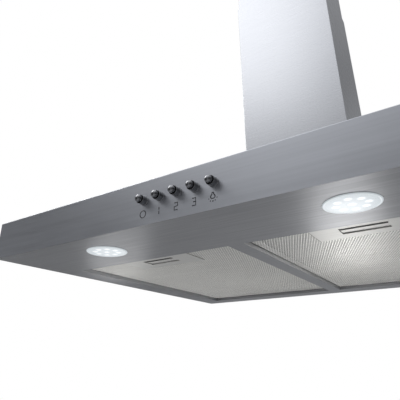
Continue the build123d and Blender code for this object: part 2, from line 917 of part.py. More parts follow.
def blades():
    """Forward-curved blades, each a bent strip between the wheel's two rings."""
    inner = wheel_radius - blade_depth
    turn = radians(blade_lead)
    tip = (wheel_radius * cos(turn), wheel_radius * sin(turn))
    run = sqrt((tip[0] - inner) ** 2 + tip[1] ** 2)
    across = ((tip[0] - inner) / run, tip[1] / run)
    normal = (across[1], -across[0])

    def point(along, out):
        u = inner + along * run * across[0] + out * normal[0]
        return (u, along * run * across[1] + out * normal[1])

    half = blade_thickness / 2
    bend = [(0, 0), (0.5, blade_bow), (1, 0)]
    outside = [point(along, out + half) for along, out in bend]
    inside = [point(along, out - half) for along, out in reversed(bend)]
    face = make_face(Polyline(outside + inside, close=True))
    plane = Plane(origin=(0, wheel_y, wheel_z), x_dir=(0, 1, 0), z_dir=(1, 0, 0))
    turns = [360 * n / blade_count for n in range(blade_count)]
    reach = wheel_width / 2 - wheel_ring
    return [extrude(plane * Rot(0, 0, turn) * face, reach, both=True) for turn in turns]


def fan_wheel():
    """Double-inlet wheel: a centre disc with its hub, forward-curved blades and two rings."""
    disc = wheel_radius - blade_thickness
    middle = (-wheel_disc / 2, wheel_y, wheel_z)
    wheel = prism(disc, blade_count, middle, (1, 0, 0), wheel_disc)
    start = (-wheel_hub_length / 2, wheel_y, wheel_z)
    wheel += rod(wheel_hub_radius, start, (1, 0, 0), wheel_hub_length)
    rings = []
    for side in (-1, 1):
        at = (side * wheel_width / 2, wheel_y, wheel_z)
        outer = wheel_radius + blade_thickness / 2
        inner = wheel_radius - wheel_ring_width
        ring = prism(outer, blade_count, at, (-side, 0, 0), wheel_ring)
        rings.append(ring - prism(inner, blade_count, at, (-side, 0, 0), wheel_ring))
    wheel = wheel + blades() + rings
    return wheel - rod(shaft_radius + fit_clearance / 2, start, (1, 0, 0), wheel_hub_length)


# Outlet collar and flaps


def collar_screw_seats():
    """Seats of the three screws in the collar's base, clear of the cable gland."""
    reach = (outlet_radius + outlet_base_radius) / 2 * sqrt(0.5)
    z = housing_top + outlet_base
    return [(sx * reach, chimney_y + sy * reach, z) for sx, sy in ((1, 1), (-1, 1), (1, -1))]


def outlet_collar():
    """Round duct collar on the housing, with a ledge that the closed flaps rest on."""
    centre = (0, chimney_y, housing_top)
    base = rod(outlet_base_radius, centre, (0, 0, 1), outlet_base)
    base &= block(
        centred(0, housing_width - 2 * housing_sheet),
        centred(chimney_y, housing_depth - 2 * housing_sheet),
        (housing_top, housing_top + outlet_base),
    )
    foot = (0, chimney_y, housing_top + outlet_base)
    collar = base + rod(outlet_radius, foot, (0, 0, 1), outlet_height)
    collar -= rod(outlet_bore, centre, (0, 0, 1), outlet_base + outlet_height)
    ledge_top = pin_z - flap_thickness / 2 - flap_seat_gap
    ledge = (0, chimney_y, ledge_top - ledge_thickness)
    joined = outlet_bore + outlet_wall / 2
    collar += tube(joined, outlet_bore - ledge_width, ledge, (0, 0, 1), ledge_thickness)
    pin_hole = (-outlet_radius, chimney_y, pin_z)
    collar -= rod(pin_radius + fit_clearance, pin_hole, (1, 0, 0), 2 * outlet_radius)
    at = (gland_place[0], chimney_y + gland_place[1], housing_top)
    collar -= rod(gland_nut_radius + gland_room, at, (0, 0, 1), outlet_base)
    for seat in collar_screw_seats():
        collar -= screw_hole(seat, (0, 0, -1), 2 * outlet_base)
    return collar


def collar_screws():
    """Screws through the collar's base into the housing's top."""
    length = outlet_base + housing_sheet
    return Compound([screw(s, (0, 0, -1), length) for s in collar_screw_seats()])


def flap_pin():
    """Pin across the collar on which both flaps turn."""
    half = outlet_radius - outlet_wall / 4
    return rod(pin_radius, (-half, chimney_y, pin_z), (1, 0, 0), 2 * half)


def front_flap():
    """Half-round flap with two knuckles on the pin that both flaps share."""
    base = (0, chimney_y, pin_z - flap_thickness / 2)
    disc = rod(outlet_bore - flap_side_gap, base, (0, 0, 1), flap_thickness)
    edge = chimney_y - knuckle_radius - knuckle_gap
    z = centred(pin_z, flap_thickness)
    wide = (-outlet_radius, outlet_radius)
    plate = disc & block(wide, (edge - outlet_radius, edge), z)
    for x in knuckle_places:
        start = (x - knuckle_width / 2, chimney_y, pin_z)
        plate += block(centred(x, knuckle_width), (edge - flap_thickness, chimney_y), z)
        plate += prism(knuckle_radius, round_sides, start, (1, 0, 0), knuckle_width)
        plate -= rod(pin_radius + fit_clearance, start, (1, 0, 0), knuckle_width)
    return plate


def rear_flap():
    """The same piece as the front flap, turned round."""
    return front_flap().rotate(Axis((0, chimney_y, 0), (0, 0, 1)), 180)


# Electrical pieces


def clip_radius(gap):
    """Corner radius of a hexagon whose flats stand the given gap off the capacitor."""
    return (capacitor_radius + gap) / cos(radians(180 / hexagon_sides))


def capacitor_centre():
    """Middle of the capacitor's front end, low on the right wall of the housing."""
    clip = capacitor_radius + capacitor_clip_sheet + fit_clearance
    x = housing_width / 2 - housing_sheet - clip
    y = chimney_y - capacitor_length / 2
    return (x, y, top_z + clip_radius(capacitor_clip_sheet) + housing_flange)


def capacitor():
    """Round motor capacitor."""
    return rod(capacitor_radius, capacitor_centre(), (0, 1, 0), capacitor_length)


def capacitor_clip():
    """Strap folded round the capacitor, with a foot along the housing's wall."""
    x, y, z = capacitor_centre()
    start = (x, y + capacitor_length / 2 - capacitor_clip_width / 2, z)
    outer = capacitor_clip_sheet + fit_clearance
    face_x = x + capacitor_radius + outer
    foot = block(
        (face_x - capacitor_clip_sheet, face_x),
        (start[1], start[1] + capacitor_clip_width),
        (z, z + capacitor_clip_rise),
    )
    strap = hexagon_bar(clip_radius(outer), start, capacitor_clip_width) + foot
    return strap - hexagon_bar(clip_radius(fit_clearance), start, capacitor_clip_width)


def hexagon_bar(radius, start, length):
    """A six-sided bar along Y with flats to the left and right."""
    plane = Plane(origin=start, x_dir=(0, 0, 1), z_dir=(0, 1, 0))
    return extrude(plane * RegularPolygon(radius, hexagon_sides), length)


def terminal_box():
    """Junction box under the canopy's top, open below."""
    size = terminal_box_size
    x, y = (centred(terminal_box_place[n], size[n]) for n in range(2))
    box = block(x, y, (inner_top - size[2], inner_top))
    t = terminal_box_wall
    inside = block((x[0] + t, x[1] - t), (y[0] + t, y[1] - t), (0, inner_top - t))
    return box - inside


def terminal_lid():
    """Lid that closes the junction box from below, with a locating rim."""
    size = terminal_box_size
    bottom = inner_top - size[2]
    t = terminal_box_wall
    x, y = (centred(terminal_box_place[n], size[n]) for n in range(2))
    lid = block(x, y, (bottom - t, bottom))
    gap = t + fit_clearance
    rim = block((x[0] + gap, x[1] - gap), (y[0] + gap, y[1] - gap), (bottom, bottom + t))
    gap += t
    rim -= block((x[0] + gap, x[1] - gap), (y[0] + gap, y[1] - gap), (bottom, bottom + t))
    return lid + rim


def lamp_driver():
    """Moulded driver for the lamps, with an ear at each end."""
    size = driver_size
    x, y = (centred(driver_place[n], size[n]) for n in range(2))
    body = block(x, y, (inner_top - size[2], inner_top))
    return body + block(
        (x[0] - driver_ear, x[1] + driver_ear),
        centred(driver_place[1], size[1] / 2),
        (inner_top - driver_ear_thickness, inner_top),
    )


def cable_gland():
    """Gland in the housing's top: hexagon, dome and thread with its lock nut, bored through."""
    x, y = gland_place[0], chimney_y + gland_place[1]
    up = Plane(origin=(x, y, housing_top))
    gland = extrude(up * RegularPolygon(gland_nut_radius, hexagon_sides), gland_nut_height)
    above = gland_nut_height + gland_dome_height
    gland += prism(gland_dome_radius, round_sides, (x, y, housing_top), (0, 0, 1), above)
    gland = gland + rod(gland_thread_radius, (x, y, housing_top), (0, 0, -1), gland_thread_length)
    under = Plane(origin=(x, y, housing_top - housing_sheet), z_dir=(0, 0, -1))
    gland += extrude(under * RegularPolygon(gland_nut_radius, hexagon_sides), gland_nut_height / 2)
    start = (x, y, housing_top - gland_thread_length)
    return gland - rod(gland_bore_radius, start, (0, 0, 1), gland_thread_length + above)


def bracket_screws():
    """Screws through the upper cover's sides into the wall bracket's arms."""
    length = sheet + bracket_sheet + screw_tip
    seats = [(side, bracket_screw_seat(side)) for side in (-1, 1)]
    return Compound([screw(seat, (-side, 0, 0), length) for side, seat in seats])


def all_parts():
    """Every node of the hood by name."""
    parts = {
        "canopy_shell": canopy_shell(),
        "underside_plate": underside_plate(),
        "rear_panel": rear_panel(),
        "lower_chimney_cover": lower_chimney_cover(),
        "lower_cover_screws": cover_screws(),
        "upper_chimney_cover": upper_chimney_cover(),
        "upper_wall_bracket": upper_wall_bracket(),
        "upper_bracket_screws": bracket_screws(),
        "button_collars": button_collars(),
        "switch_bank": switch_bank(),
        "switch_bank_screws": bank_screws(),
        "blower_housing": blower_housing(),
        "blower_housing_screws": housing_screws(),
        "left_scroll_half": scroll_half_shell(-1),
        "right_scroll_half": scroll_half_shell(1),
        "scroll_screws": scroll_screws(),
        "scroll_neck_screws": neck_screws(),
        "motor_rubber_mounts": motor_mounts(),
        "motor_bracket": motor_bracket(),
        "motor_bracket_screws": motor_screws(),
        "motor": motor(),
        "motor_shaft": motor_shaft(),
        "fan_wheel": fan_wheel(),
        "outlet_collar": outlet_collar(),
        "collar_screws": collar_screws(),
        "flap_pin": flap_pin(),
        "front_flap": front_flap(),
        "rear_flap": rear_flap(),
        "capacitor": capacitor(),
        "capacitor_clip": capacitor_clip(),
        "terminal_box": terminal_box(),
        "terminal_box_lid": terminal_lid(),
        "lamp_driver": lamp_driver(),
        "cable_gland": cable_gland(),
    }
    for name, x in zip(button_names, button_xs):
        parts["button_" + name] = push_button(x)
    for name, side in (("left", -1), ("right", 1)):
        x = side * lamp_spacing / 2
        parts[name + "_lamp_diffuser"] = lamp_diffuser(x)
        parts[name + "_lamp_cup"] = lamp_cup(x)
        parts[name + "_lamp_board"] = lamp_board(x)
        parts[name + "_lamp_clips"] = lamp_clips(x)
        x = side * filter_x
        parts[name + "_filter_frame"] = filter_frame(x)
        parts[name + "_filter_mesh"] = filter_mesh(x)
        parts[name + "_filter_core"] = filter_core(x)
        parts[name + "_latch_cover"] = latch_cover(x)
        parts[name + "_latch_slide"] = latch_slide(x)
        parts[name + "_latch_spring"] = latch_spring(x)
    return parts


def main():
    """Writes one STEP file for each node."""
    os.makedirs("parts", exist_ok=True)
    for name, shape in all_parts().items():
        export_step(shape, os.path.join("parts", name + ".step"))


main()
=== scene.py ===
import math

import bmesh
import bpy
from bpy.props import FloatProperty, FloatVectorProperty, IntProperty, PointerProperty
from mathutils import Euler, Matrix, Vector


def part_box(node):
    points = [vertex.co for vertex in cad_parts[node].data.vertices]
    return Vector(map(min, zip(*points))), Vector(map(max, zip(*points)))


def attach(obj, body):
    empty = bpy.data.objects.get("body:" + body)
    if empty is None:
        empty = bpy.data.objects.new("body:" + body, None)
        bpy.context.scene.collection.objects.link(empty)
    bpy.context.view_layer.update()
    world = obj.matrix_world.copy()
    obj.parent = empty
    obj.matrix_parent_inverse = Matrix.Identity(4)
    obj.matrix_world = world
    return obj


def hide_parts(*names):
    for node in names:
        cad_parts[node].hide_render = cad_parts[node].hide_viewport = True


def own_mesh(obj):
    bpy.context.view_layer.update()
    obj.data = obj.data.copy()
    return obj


bl_info = {
    "name": "Chimney Range Hood",
    "version": (1, 0, 0),
    "blender": (4, 5, 0),
    "location": "View3D > Sidebar > Range Hood",
    "description": "Dresses the packed hood with its finishes, filter mesh, buttons and lamps",
    "category": "Object",
}

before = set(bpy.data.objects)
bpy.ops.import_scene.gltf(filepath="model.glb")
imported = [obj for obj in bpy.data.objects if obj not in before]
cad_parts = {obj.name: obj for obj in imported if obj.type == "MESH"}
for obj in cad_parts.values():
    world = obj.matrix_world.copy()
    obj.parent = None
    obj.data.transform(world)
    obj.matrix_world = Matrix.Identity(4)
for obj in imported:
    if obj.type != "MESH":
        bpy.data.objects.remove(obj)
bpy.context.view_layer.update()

MM = 0.001
SIDES = ("left", "right")
BUTTONS = ("button_off", "button_speed_1", "button_speed_2", "button_speed_3", "button_light")
FRONT_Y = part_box("canopy_shell")[0].y

# The photograph's camera: place in metres, angles, lens in millimetres, and shifts as shares
CAMERA_PLACE = (0.2148, -0.8413, -0.1256)
VIEW_TURN, VIEW_RISE = math.radians(34.25), math.radians(22.43)
FOCAL_LENGTH, SENSOR_WIDTH = 36.27, 36.0
SHIFT_X, SHIFT_Y = 0.0219, -0.0136


def middle(node):
    """Centre of a CAD node's box."""
    low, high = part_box(node)
    return (low + high) / 2


# Settings that a user would change


class HoodColours(bpy.types.PropertyGroup):
    """Base colours of the finishes."""

    steel: FloatVectorProperty(
        name="Front steel", description="Brushed steel of the canopy's front and sides",
        subtype="COLOR", size=3, min=0.0, max=1.0, default=(0.40, 0.41, 0.435),
    )
    # Painted shade: the underside steel is a darker copy of the front steel, for the shade under
    # the canopy
    shaded_under_steel: FloatVectorProperty(
        name="Underside steel", description="Brushed steel of the underside sheet",
        subtype="COLOR", size=3, min=0.0, max=1.0, default=(0.217, 0.219, 0.226),
    )
    chimney_steel: FloatVectorProperty(
        name="Chimney steel", description="Brushed steel of both chimney covers",
        subtype="COLOR", size=3, min=0.0, max=1.0, default=(0.42, 0.427, 0.445),
    )
    mesh: FloatVectorProperty(
        name="Filter mesh", description="Aluminium of the grease filters",
        subtype="COLOR", size=3, min=0.0, max=1.0, default=(0.79, 0.78, 0.745),
    )
    lens: FloatVectorProperty(
        name="Lamp lens", description="Frosted lens of the lamps",
        subtype="COLOR", size=3, min=0.0, max=1.0, default=(0.78, 0.84, 0.87),
    )
    chrome: FloatVectorProperty(
        name="Button chrome", description="Dark chrome of the push buttons and their collars",
        subtype="COLOR", size=3, min=0.0, max=1.0, default=(0.15, 0.152, 0.158),
    )
    print_ink: FloatVectorProperty(
        name="Symbol ink", description="Ink of the signs under the buttons",
        subtype="COLOR", size=3, min=0.0, max=1.0, default=(0.012, 0.012, 0.014),
    )


class HoodSizes(bpy.types.PropertyGroup):
    """Sizes of the fine pieces."""

    mesh_pitch: FloatProperty(
        name="Mesh pitch", description="Width of one diamond of the filter mesh",
        unit="LENGTH", min=0.002, max=0.02, default=3.3 * MM,
    )
    mesh_rise: FloatProperty(
        name="Mesh rise", description="Length of one diamond of the filter mesh",
        unit="LENGTH", min=0.002, max=0.03, default=8.6 * MM,
    )
    mesh_strand: FloatProperty(
        name="Mesh strand", description="Width of a strand of the filter mesh",
        unit="LENGTH", min=0.0003, max=0.004, default=0.8 * MM,
    )
    mesh_thickness: FloatProperty(
        name="Mesh thickness", description="Thickness of a strand of the filter mesh",
        unit="LENGTH", min=0.0001, max=0.002, default=0.35 * MM,
    )
    sign_height: FloatProperty(
        name="Sign height", description="Height of the printed signs",
        unit="LENGTH", min=0.003, max=0.015, default=7.4 * MM,
    )
    sign_stroke: FloatProperty(
        name="Sign stroke", description="Width of the printed lines",
        unit="LENGTH", min=0.0003, max=0.002, default=1.3 * MM,
    )
    sign_level: FloatProperty(
        name="Sign level", description="Height of the middle of the signs above the underside",
        unit="LENGTH", min=0.0, max=0.04, default=12.0 * MM,
    )
    sign_shift: FloatProperty(
        name="Sign shift", description="Distance of the signs to the left of their buttons",
        unit="LENGTH", min=-0.005, max=0.005, default=1.4 * MM,
    )
    led_ring: FloatProperty(
        name="Diode ring", description="Radius of the ring of diodes behind each lens",
        unit="LENGTH", min=0.005, max=0.02, default=14.0 * MM,
    )
    led_count: IntProperty(
        name="Diodes in the ring", description="Number of diodes round the middle one",
        min=3, max=16, default=8,
    )


class StudioSettings(bpy.types.PropertyGroup):
    """Light and floor of the studio."""

    high_level: FloatProperty(
        name="Upper light", description="Brightness of the studio overhead",
        min=0.0, max=3.0, default=1.4,
    )
    low_level: FloatProperty(
        name="Level light", description="Brightness of the studio at eye level, in front",
        min=0.0, max=3.0, default=0.12,
    )
    band_level: FloatProperty(
        name="Band light", description="Brightness that an upright band to the front left adds",
        min=0.0, max=3.0, default=0.42,
    )
    horizon_level: FloatProperty(
        name="Horizon light", description="Brightness that the horizon in front adds",
        min=0.0, max=3.0, default=0.4,
    )
    glow_level: FloatProperty(
        name="Rear horizon light", description="Brightness that the horizon behind the wall adds",
        min=0.0, max=3.0, default=0.25,
    )
    flank_level: FloatProperty(
        name="Flank light", description="Brightness that the far left and the right-hand side add",
        min=0.0, max=3.0, default=0.4,
    )
    rear_level: FloatProperty(
        name="Rear light", description="Brightness of the studio at eye level, behind",
        min=0.0, max=3.0, default=0.08,
    )
    key_power: FloatProperty(
        name="Key power", description="Power of the large soft lamp above and in front",
        unit="POWER", min=0.0, max=500.0, default=7.0,
    )
    rim_power: FloatProperty(
        name="Rim power",
        description="Power of the lamp at the upper left that shows on the chrome",
        unit="POWER", min=0.0, max=50.0, default=4.5,
    )
    pool_power: FloatProperty(
        name="Pool power",
        description="Power of the small lamps that leave pools of light on the underside",
        unit="POWER", min=0.0, max=5.0, default=0.3,
    )
    floor_drop: FloatProperty(
        name="Floor drop", description="Distance of the floor below the underside",
        unit="LENGTH", min=0.5, max=4.0, default=2.3,
    )


class HoodSettings(bpy.types.PropertyGroup):
    """Everything that the panel shows."""

    colours: PointerProperty(type=HoodColours)
    sizes: PointerProperty(type=HoodSizes)
    studio: PointerProperty(type=StudioSettings)


# Node helpers


def add_node(tree, kind, inputs=None, **settings):
    """Adds a node, sets its properties and fills its inputs with values or sockets."""
    made = tree.nodes.new(kind)
    for name, value in settings.items():
        setattr(made, name, value)
    for key, value in (inputs or {}).items():
        if isinstance(value, bpy.types.NodeSocket):
            tree.links.new(value, made.inputs[key])
        else:
            made.inputs[key].default_value = value
    return made


def calc(tree, operation, first, second=0.0, third=None):
    """Output of one Math node with the named operation."""
    inputs = {0: first, 1: second}
    if third is not None:
        inputs[2] = third
    return add_node(tree, "ShaderNodeMath", inputs, operation=operation).outputs[0]


def remap(tree, value, low, high, to_low=0.0, to_high=1.0, smooth=False):
    """Value moved from one range to another and clamped."""
    kind = "SMOOTHSTEP" if smooth else "LINEAR"
    inputs = {
        "Value": value, "From Min": low, "From Max": high, "To Min": to_low, "To Max": to_high,
    }
    return add_node(tree, "ShaderNodeMapRange", inputs, interpolation_type=kind).outputs[0]


def distance(tree, u, v):
    """How far the point (u, v) is from (0, 0)."""
    squares = calc(tree, "ADD", calc(tree, "MULTIPLY", u, u), calc(tree, "MULTIPLY", v, v))
    return calc(tree, "SQRT", squares)


def blend_colour(tree, share, first, second):
    """Output of a colour Mix node."""
    mixer = add_node(tree, "ShaderNodeMix", {0: share}, data_type="RGBA")
    for index, value in ((6, first), (7, second)):
        if isinstance(value, bpy.types.NodeSocket):
            tree.links.new(value, mixer.inputs[index])
        else:
            mixer.inputs[index].default_value = value
    return mixer.outputs[2]


def opaque(colour):
    """A colour with full alpha."""
    return (colour[0], colour[1], colour[2], 1.0)


def scaled(colour, factor):
    """A colour made lighter or darker."""
    return tuple(min(channel * factor, 1.0) for channel in colour)


def grey(value):
    """A grey with full alpha."""
    return (value, value, value, 1.0)


def toned(tree, share, colour, darkest, lightest):
    """A colour that goes from one factor of its brightness to another."""
    return blend_colour(
        tree, share, opaque(scaled(colour, darkest)), opaque(scaled(colour, lightest)),
    )


def new_group(name, inputs, outputs):
    """An empty shader node group with float inputs and outputs, and its two end nodes."""
    group = bpy.data.node_groups.new(name, "ShaderNodeTree")
    for label, value in inputs:
        socket = group.interface.new_socket(label, in_out="INPUT", socket_type="NodeSocketFloat")
        socket.default_value = value
    for label in outputs:
        group.interface.new_socket(label, in_out="OUTPUT", socket_type="NodeSocketFloat")
    return group, group.nodes.new("NodeGroupInput"), group.nodes.new("NodeGroupOutput")


# Shader groups: each effect is built once and shared


def brushed_grain_group():
    """Fine lines that run along X, or along Y on side faces, with broad patches."""
    inputs = [("Fine", 1500.0), ("Broad", 260.0), ("Stretch", 0.01)]
    group, given, out = new_group("brushed_grain", inputs, ["Lines", "Streaks", "Patches"])
    place = add_node(group, "ShaderNodeTexCoord")
    point = add_node(group, "ShaderNodeSeparateXYZ", {0: place.outputs["Object"]}).outputs
    facing = add_node(group, "ShaderNodeSeparateXYZ", {0: place.outputs["Normal"]}).outputs
    squarely = 0.7
    side = calc(group, "GREATER_THAN", calc(group, "ABSOLUTE", facing[0]), squarely)
    level = calc(group, "GREATER_THAN", calc(group, "ABSOLUTE", facing[2]), squarely)
    along = add_node(group, "ShaderNodeMix", {0: side, 2: point[0], 3: point[1]}).outputs[0]
    across = add_node(group, "ShaderNodeMix", {0: level, 2: point[2], 3: point[1]}).outputs[0]
    run = calc(group, "MULTIPLY", along, given.outputs["Stretch"])
    spread = add_node(group, "ShaderNodeCombineXYZ", {0: run, 1: across}).outputs[0]
    for label, detail, target in (("Fine", 2.0, "Lines"), ("Broad", 3.0, "Streaks")):
        noise = add_node(
            group, "ShaderNodeTexNoise",
            {"Vector": spread, "Scale": given.outputs[label], "Detail": detail},
            noise_dimensions="2D",
        )
        group.links.new(noise.outputs["Fac"], out.inputs[target])
    cloud = add_node(
        group, "ShaderNodeTexNoise",
        {"Vector": place.outputs["Object"], "Scale": 9.0, "Detail": 4.0, "Roughness": 0.55},
    )
    group.links.new(cloud.outputs["Fac"], out.inputs["Patches"])
    return group


def moulded_skin_group():
    """Fine pebbled skin of moulded plastic or rubber, with slow waves."""
    group, given, out = new_group("moulded_skin", [("Grain", 900.0)], ["Pebble", "Waves"])
    place = add_node(group, "ShaderNodeTexCoord")
    pebble = add_node(
        group, "ShaderNodeTexNoise",
        {"Vector": place.outputs["Object"], "Scale": given.outputs["Grain"], "Detail": 3.0},
    )
    waves = add_node(
        group, "ShaderNodeTexNoise",
        {"Vector": place.outputs["Object"], "Scale": 30.0, "Detail": 2.0},
    )
    group.links.new(pebble.outputs["Fac"], out.inputs["Pebble"])
    group.links.new(waves.outputs["Fac"], out.inputs["Waves"])
    return group


def zinc_flakes_group():
    """Angular flakes of hot-dipped zinc."""
    group, given, out = new_group("zinc_flakes", [("Size", 110.0)], ["Flake", "Grain"])
    place = add_node(group, "ShaderNodeTexCoord")
    cells = add_node(
        group, "ShaderNodeTexVoronoi",
        {"Vector": place.outputs["Object"], "Scale": given.outputs["Size"], "Randomness": 1.0},
    )
    tone = add_node(group, "ShaderNodeSeparateColor", {0: cells.outputs["Color"]}).outputs[0]
    grain = add_node(
        group, "ShaderNodeTexNoise",
        {"Vector": place.outputs["Object"], "Scale": 700.0, "Detail": 2.0},
    )
    group.links.new(tone, out.inputs["Flake"])
    group.links.new(grain.outputs["Fac"], out.inputs["Grain"])
    return group


def diode_spots_group():
    """Spots of a middle diode and a ring of diodes behind either lens, and the lens's dull edge."""
    inputs = [
        ("Lens X", 0.147), ("Lens Y", -0.4955), ("Ring", 0.014), ("Count", 8.0), ("Spot", 0.0048),
        ("Edge Start", 0.0205), ("Edge End", 0.0235),
    ]
    group, given, out = new_group("diode_spots", inputs, ["Spots", "Edge"])
    place = add_node(group, "ShaderNodeTexCoord")
    point = add_node(group, "ShaderNodeSeparateXYZ", {0: place.outputs["Object"]}).outputs
    u = calc(group, "SUBTRACT", calc(group, "ABSOLUTE", point[0]), given.outputs["Lens X"])
    v = calc(group, "SUBTRACT", point[1], given.outputs["Lens Y"])
    radius = distance(group, u, v)
    turn = calc(group, "ARCTAN2", v, u)
    half = calc(group, "DIVIDE", math.pi, given.outputs["Count"])
    turn = calc(group, "WRAP", turn, half, calc(group, "MULTIPLY", half, -1.0))
    ahead = calc(group, "MULTIPLY", radius, calc(group, "COSINE", turn))
    ahead = calc(group, "SUBTRACT", ahead, given.outputs["Ring"])
    aside = calc(group, "MULTIPLY", radius, calc(group, "SINE", turn))
    near = calc(group, "MINIMUM", distance(group, ahead, aside), radius)
    spots = remap(group, near, given.outputs["Spot"], 0.0, smooth=True)
    group.links.new(spots, out.inputs["Spots"])
    edge = remap(group, radius, given.outputs["Edge Start"], given.outputs["Edge End"], smooth=True)
    group.links.new(edge, out.inputs["Edge"])
    return group


def shared_group(maker):
    """The shader group that a maker builds, made only once."""
    name = maker.__name__.removesuffix("_group")
    return bpy.data.node_groups.get(name) or maker()


def use_group(tree, maker, **values):
    """Places a shared group in a material, with its own values."""
    made = add_node(tree, "ShaderNodeGroup", node_tree=shared_group(maker))
    for label, value in values.items():
        made.inputs[label.replace("_", " ")].default_value = value
    return made.outputs


# Materials

# Nearly all values of a noise lie in the first span, and of the fine brushed lines in the second
NOISE_SPAN, LINE_SPAN = (0.3, 0.7), (0.25, 0.75)


def facing_share(tree, ways, askew=0.5, squarely=0.7):
    """1 where the surface faces one of the given ways of the object, and 0 elsewhere."""
    facing = add_node(tree, "ShaderNodeTexCoord").outputs["Normal"]
    nearest = 0.0
    for way in ways:
        aligned = add_node(
            tree, "ShaderNodeVectorMath", {0: facing, 1: way}, operation="DOT_PRODUCT",
        )
        nearest = calc(tree, "MAXIMUM", aligned.outputs["Value"], nearest)
    return remap(tree, nearest, askew, squarely)


def start_material(name, **sockets):
    """A new material with its Principled shader, whose plain sockets are set by value."""
    made = bpy.data.materials.new(name)
    made.use_nodes = True
    shader = made.node_tree.nodes["Principled BSDF"]
    for label, value in sockets.items():
        shader.inputs[label.replace("_", " ")].default_value = value
    return made, made.node_tree, shader


def add_bump(tree, shader, height, depth, strength=0.4):
    """Links a height to the shader's normal."""
    bump = add_node(
        tree, "ShaderNodeBump", {"Height": height, "Distance": depth, "Strength": strength},
    )
    tree.links.new(bump.outputs["Normal"], shader.inputs["Normal"])


def set_gloss(tree, shader, pattern, span, rough):
    """Roughness between two values, that follows a pattern over a span of its values."""
    tree.links.new(remap(tree, pattern, *span, *rough), shader.inputs["Roughness"])


def brushed_metal(
    name, colour, rough=(0.27, 0.4), tone=0.12, fine=1500.0, broad=260.0, bump=0.3, edges=None,
):
    """Brushed sheet metal: streaked tone, streaked gloss and fine lines.

    The edges, if given, are the ways that some faces face, and a colour painted on those faces as
    painted light or painted shade.
    """
    made, tree, shader = start_material(name, Metallic=1.0)
    grain = use_group(tree, brushed_grain_group, Fine=fine, Broad=broad)
    streak_share = 0.55
    mixed = calc(tree, "MULTIPLY", grain["Streaks"], streak_share)
    mixed = calc(tree, "MULTIPLY_ADD", grain["Patches"], 1 - streak_share, mixed)
    tint = toned(tree, remap(tree, mixed, *NOISE_SPAN), colour, 1 - tone, 1 + tone)
    if edges:
        # Painted light and shade: faces that look the given ways take the painted colour in place
        # of the metal's tone
        ways, painted_facing_colour = edges
        tint = blend_colour(tree, facing_share(tree, ways), tint, opaque(painted_facing_colour))
    tree.links.new(tint, shader.inputs["Base Color"])
    set_gloss(tree, shader, grain["Lines"], LINE_SPAN, rough)
    add_bump(tree, shader, grain["Lines"], 0.02 * MM, bump)
    return made


def zinc_sheet(name, colour, rough=(0.35, 0.55)):
    """Galvanised sheet with its flakes."""
    made, tree, shader = start_material(name, Metallic=0.9)
    zinc = use_group(tree, zinc_flakes_group)
    tree.links.new(toned(tree, zinc["Flake"], colour, 0.8, 1.15), shader.inputs["Base Color"])
    set_gloss(tree, shader, zinc["Flake"], (0.0, 1.0), rough)
    add_bump(tree, shader, zinc["Grain"], 0.03 * MM)
    return made


def moulded(name, colour, rough=(0.42, 0.58), grain=900.0, depth=0.04 * MM):
    """Moulded plastic or rubber with a pebbled skin."""
    made, tree, shader = start_material(name, Metallic=0.0)
    skin = use_group(tree, moulded_skin_group, Grain=grain)
    tree.links.new(toned(tree, skin["Waves"], colour, 0.85, 1.15), shader.inputs["Base Color"])
    set_gloss(tree, shader, skin["Pebble"], NOISE_SPAN, rough)
    add_bump(tree, shader, skin["Pebble"], depth)
    return made


def polished_chrome(name, colour, rough=(0.12, 0.2)):
    """Dark polished chrome with faint wiping marks."""
    made, tree, shader = start_material(name, Metallic=1.0)
    grain = use_group(tree, brushed_grain_group, Fine=2500.0, Broad=400.0, Stretch=0.4)
    tree.links.new(toned(tree, grain["Patches"], colour, 0.9, 1.1), shader.inputs["Base Color"])
    set_gloss(tree, shader, grain["Streaks"], NOISE_SPAN, rough)
    add_bump(tree, shader, grain["Lines"], 0.01 * MM, 0.15)
    return made


def lit_lens(name, colour, ring, count, body_glow=0.5, edge_glow=0.45):
    """Frosted lens lit from behind by its diodes, white in front of each and duller at its edge."""
    made, tree, shader = start_material(name, Metallic=0.0, Emission_Strength=0.85)
    lens = middle("right_lamp_diffuser")
    spots = use_group(
        tree, diode_spots_group, Lens_X=lens.x, Lens_Y=lens.y, Ring=ring, Count=float(count),
    )
    skin = use_group(tree, moulded_skin_group, Grain=1400.0)
    tree.links.new(toned(tree, skin["Waves"], colour, 0.46, 0.52), shader.inputs["Base Color"])
    glow = blend_colour(tree, spots["Spots"], opaque(scaled(colour, body_glow)), grey(1.0))
    glow = blend_colour(tree, spots["Edge"], glow, opaque(scaled(colour, edge_glow)))
    tree.links.new(glow, shader.inputs["Emission Color"])
    set_gloss(tree, shader, skin["Pebble"], NOISE_SPAN, rough=(0.25, 0.4))
    return made


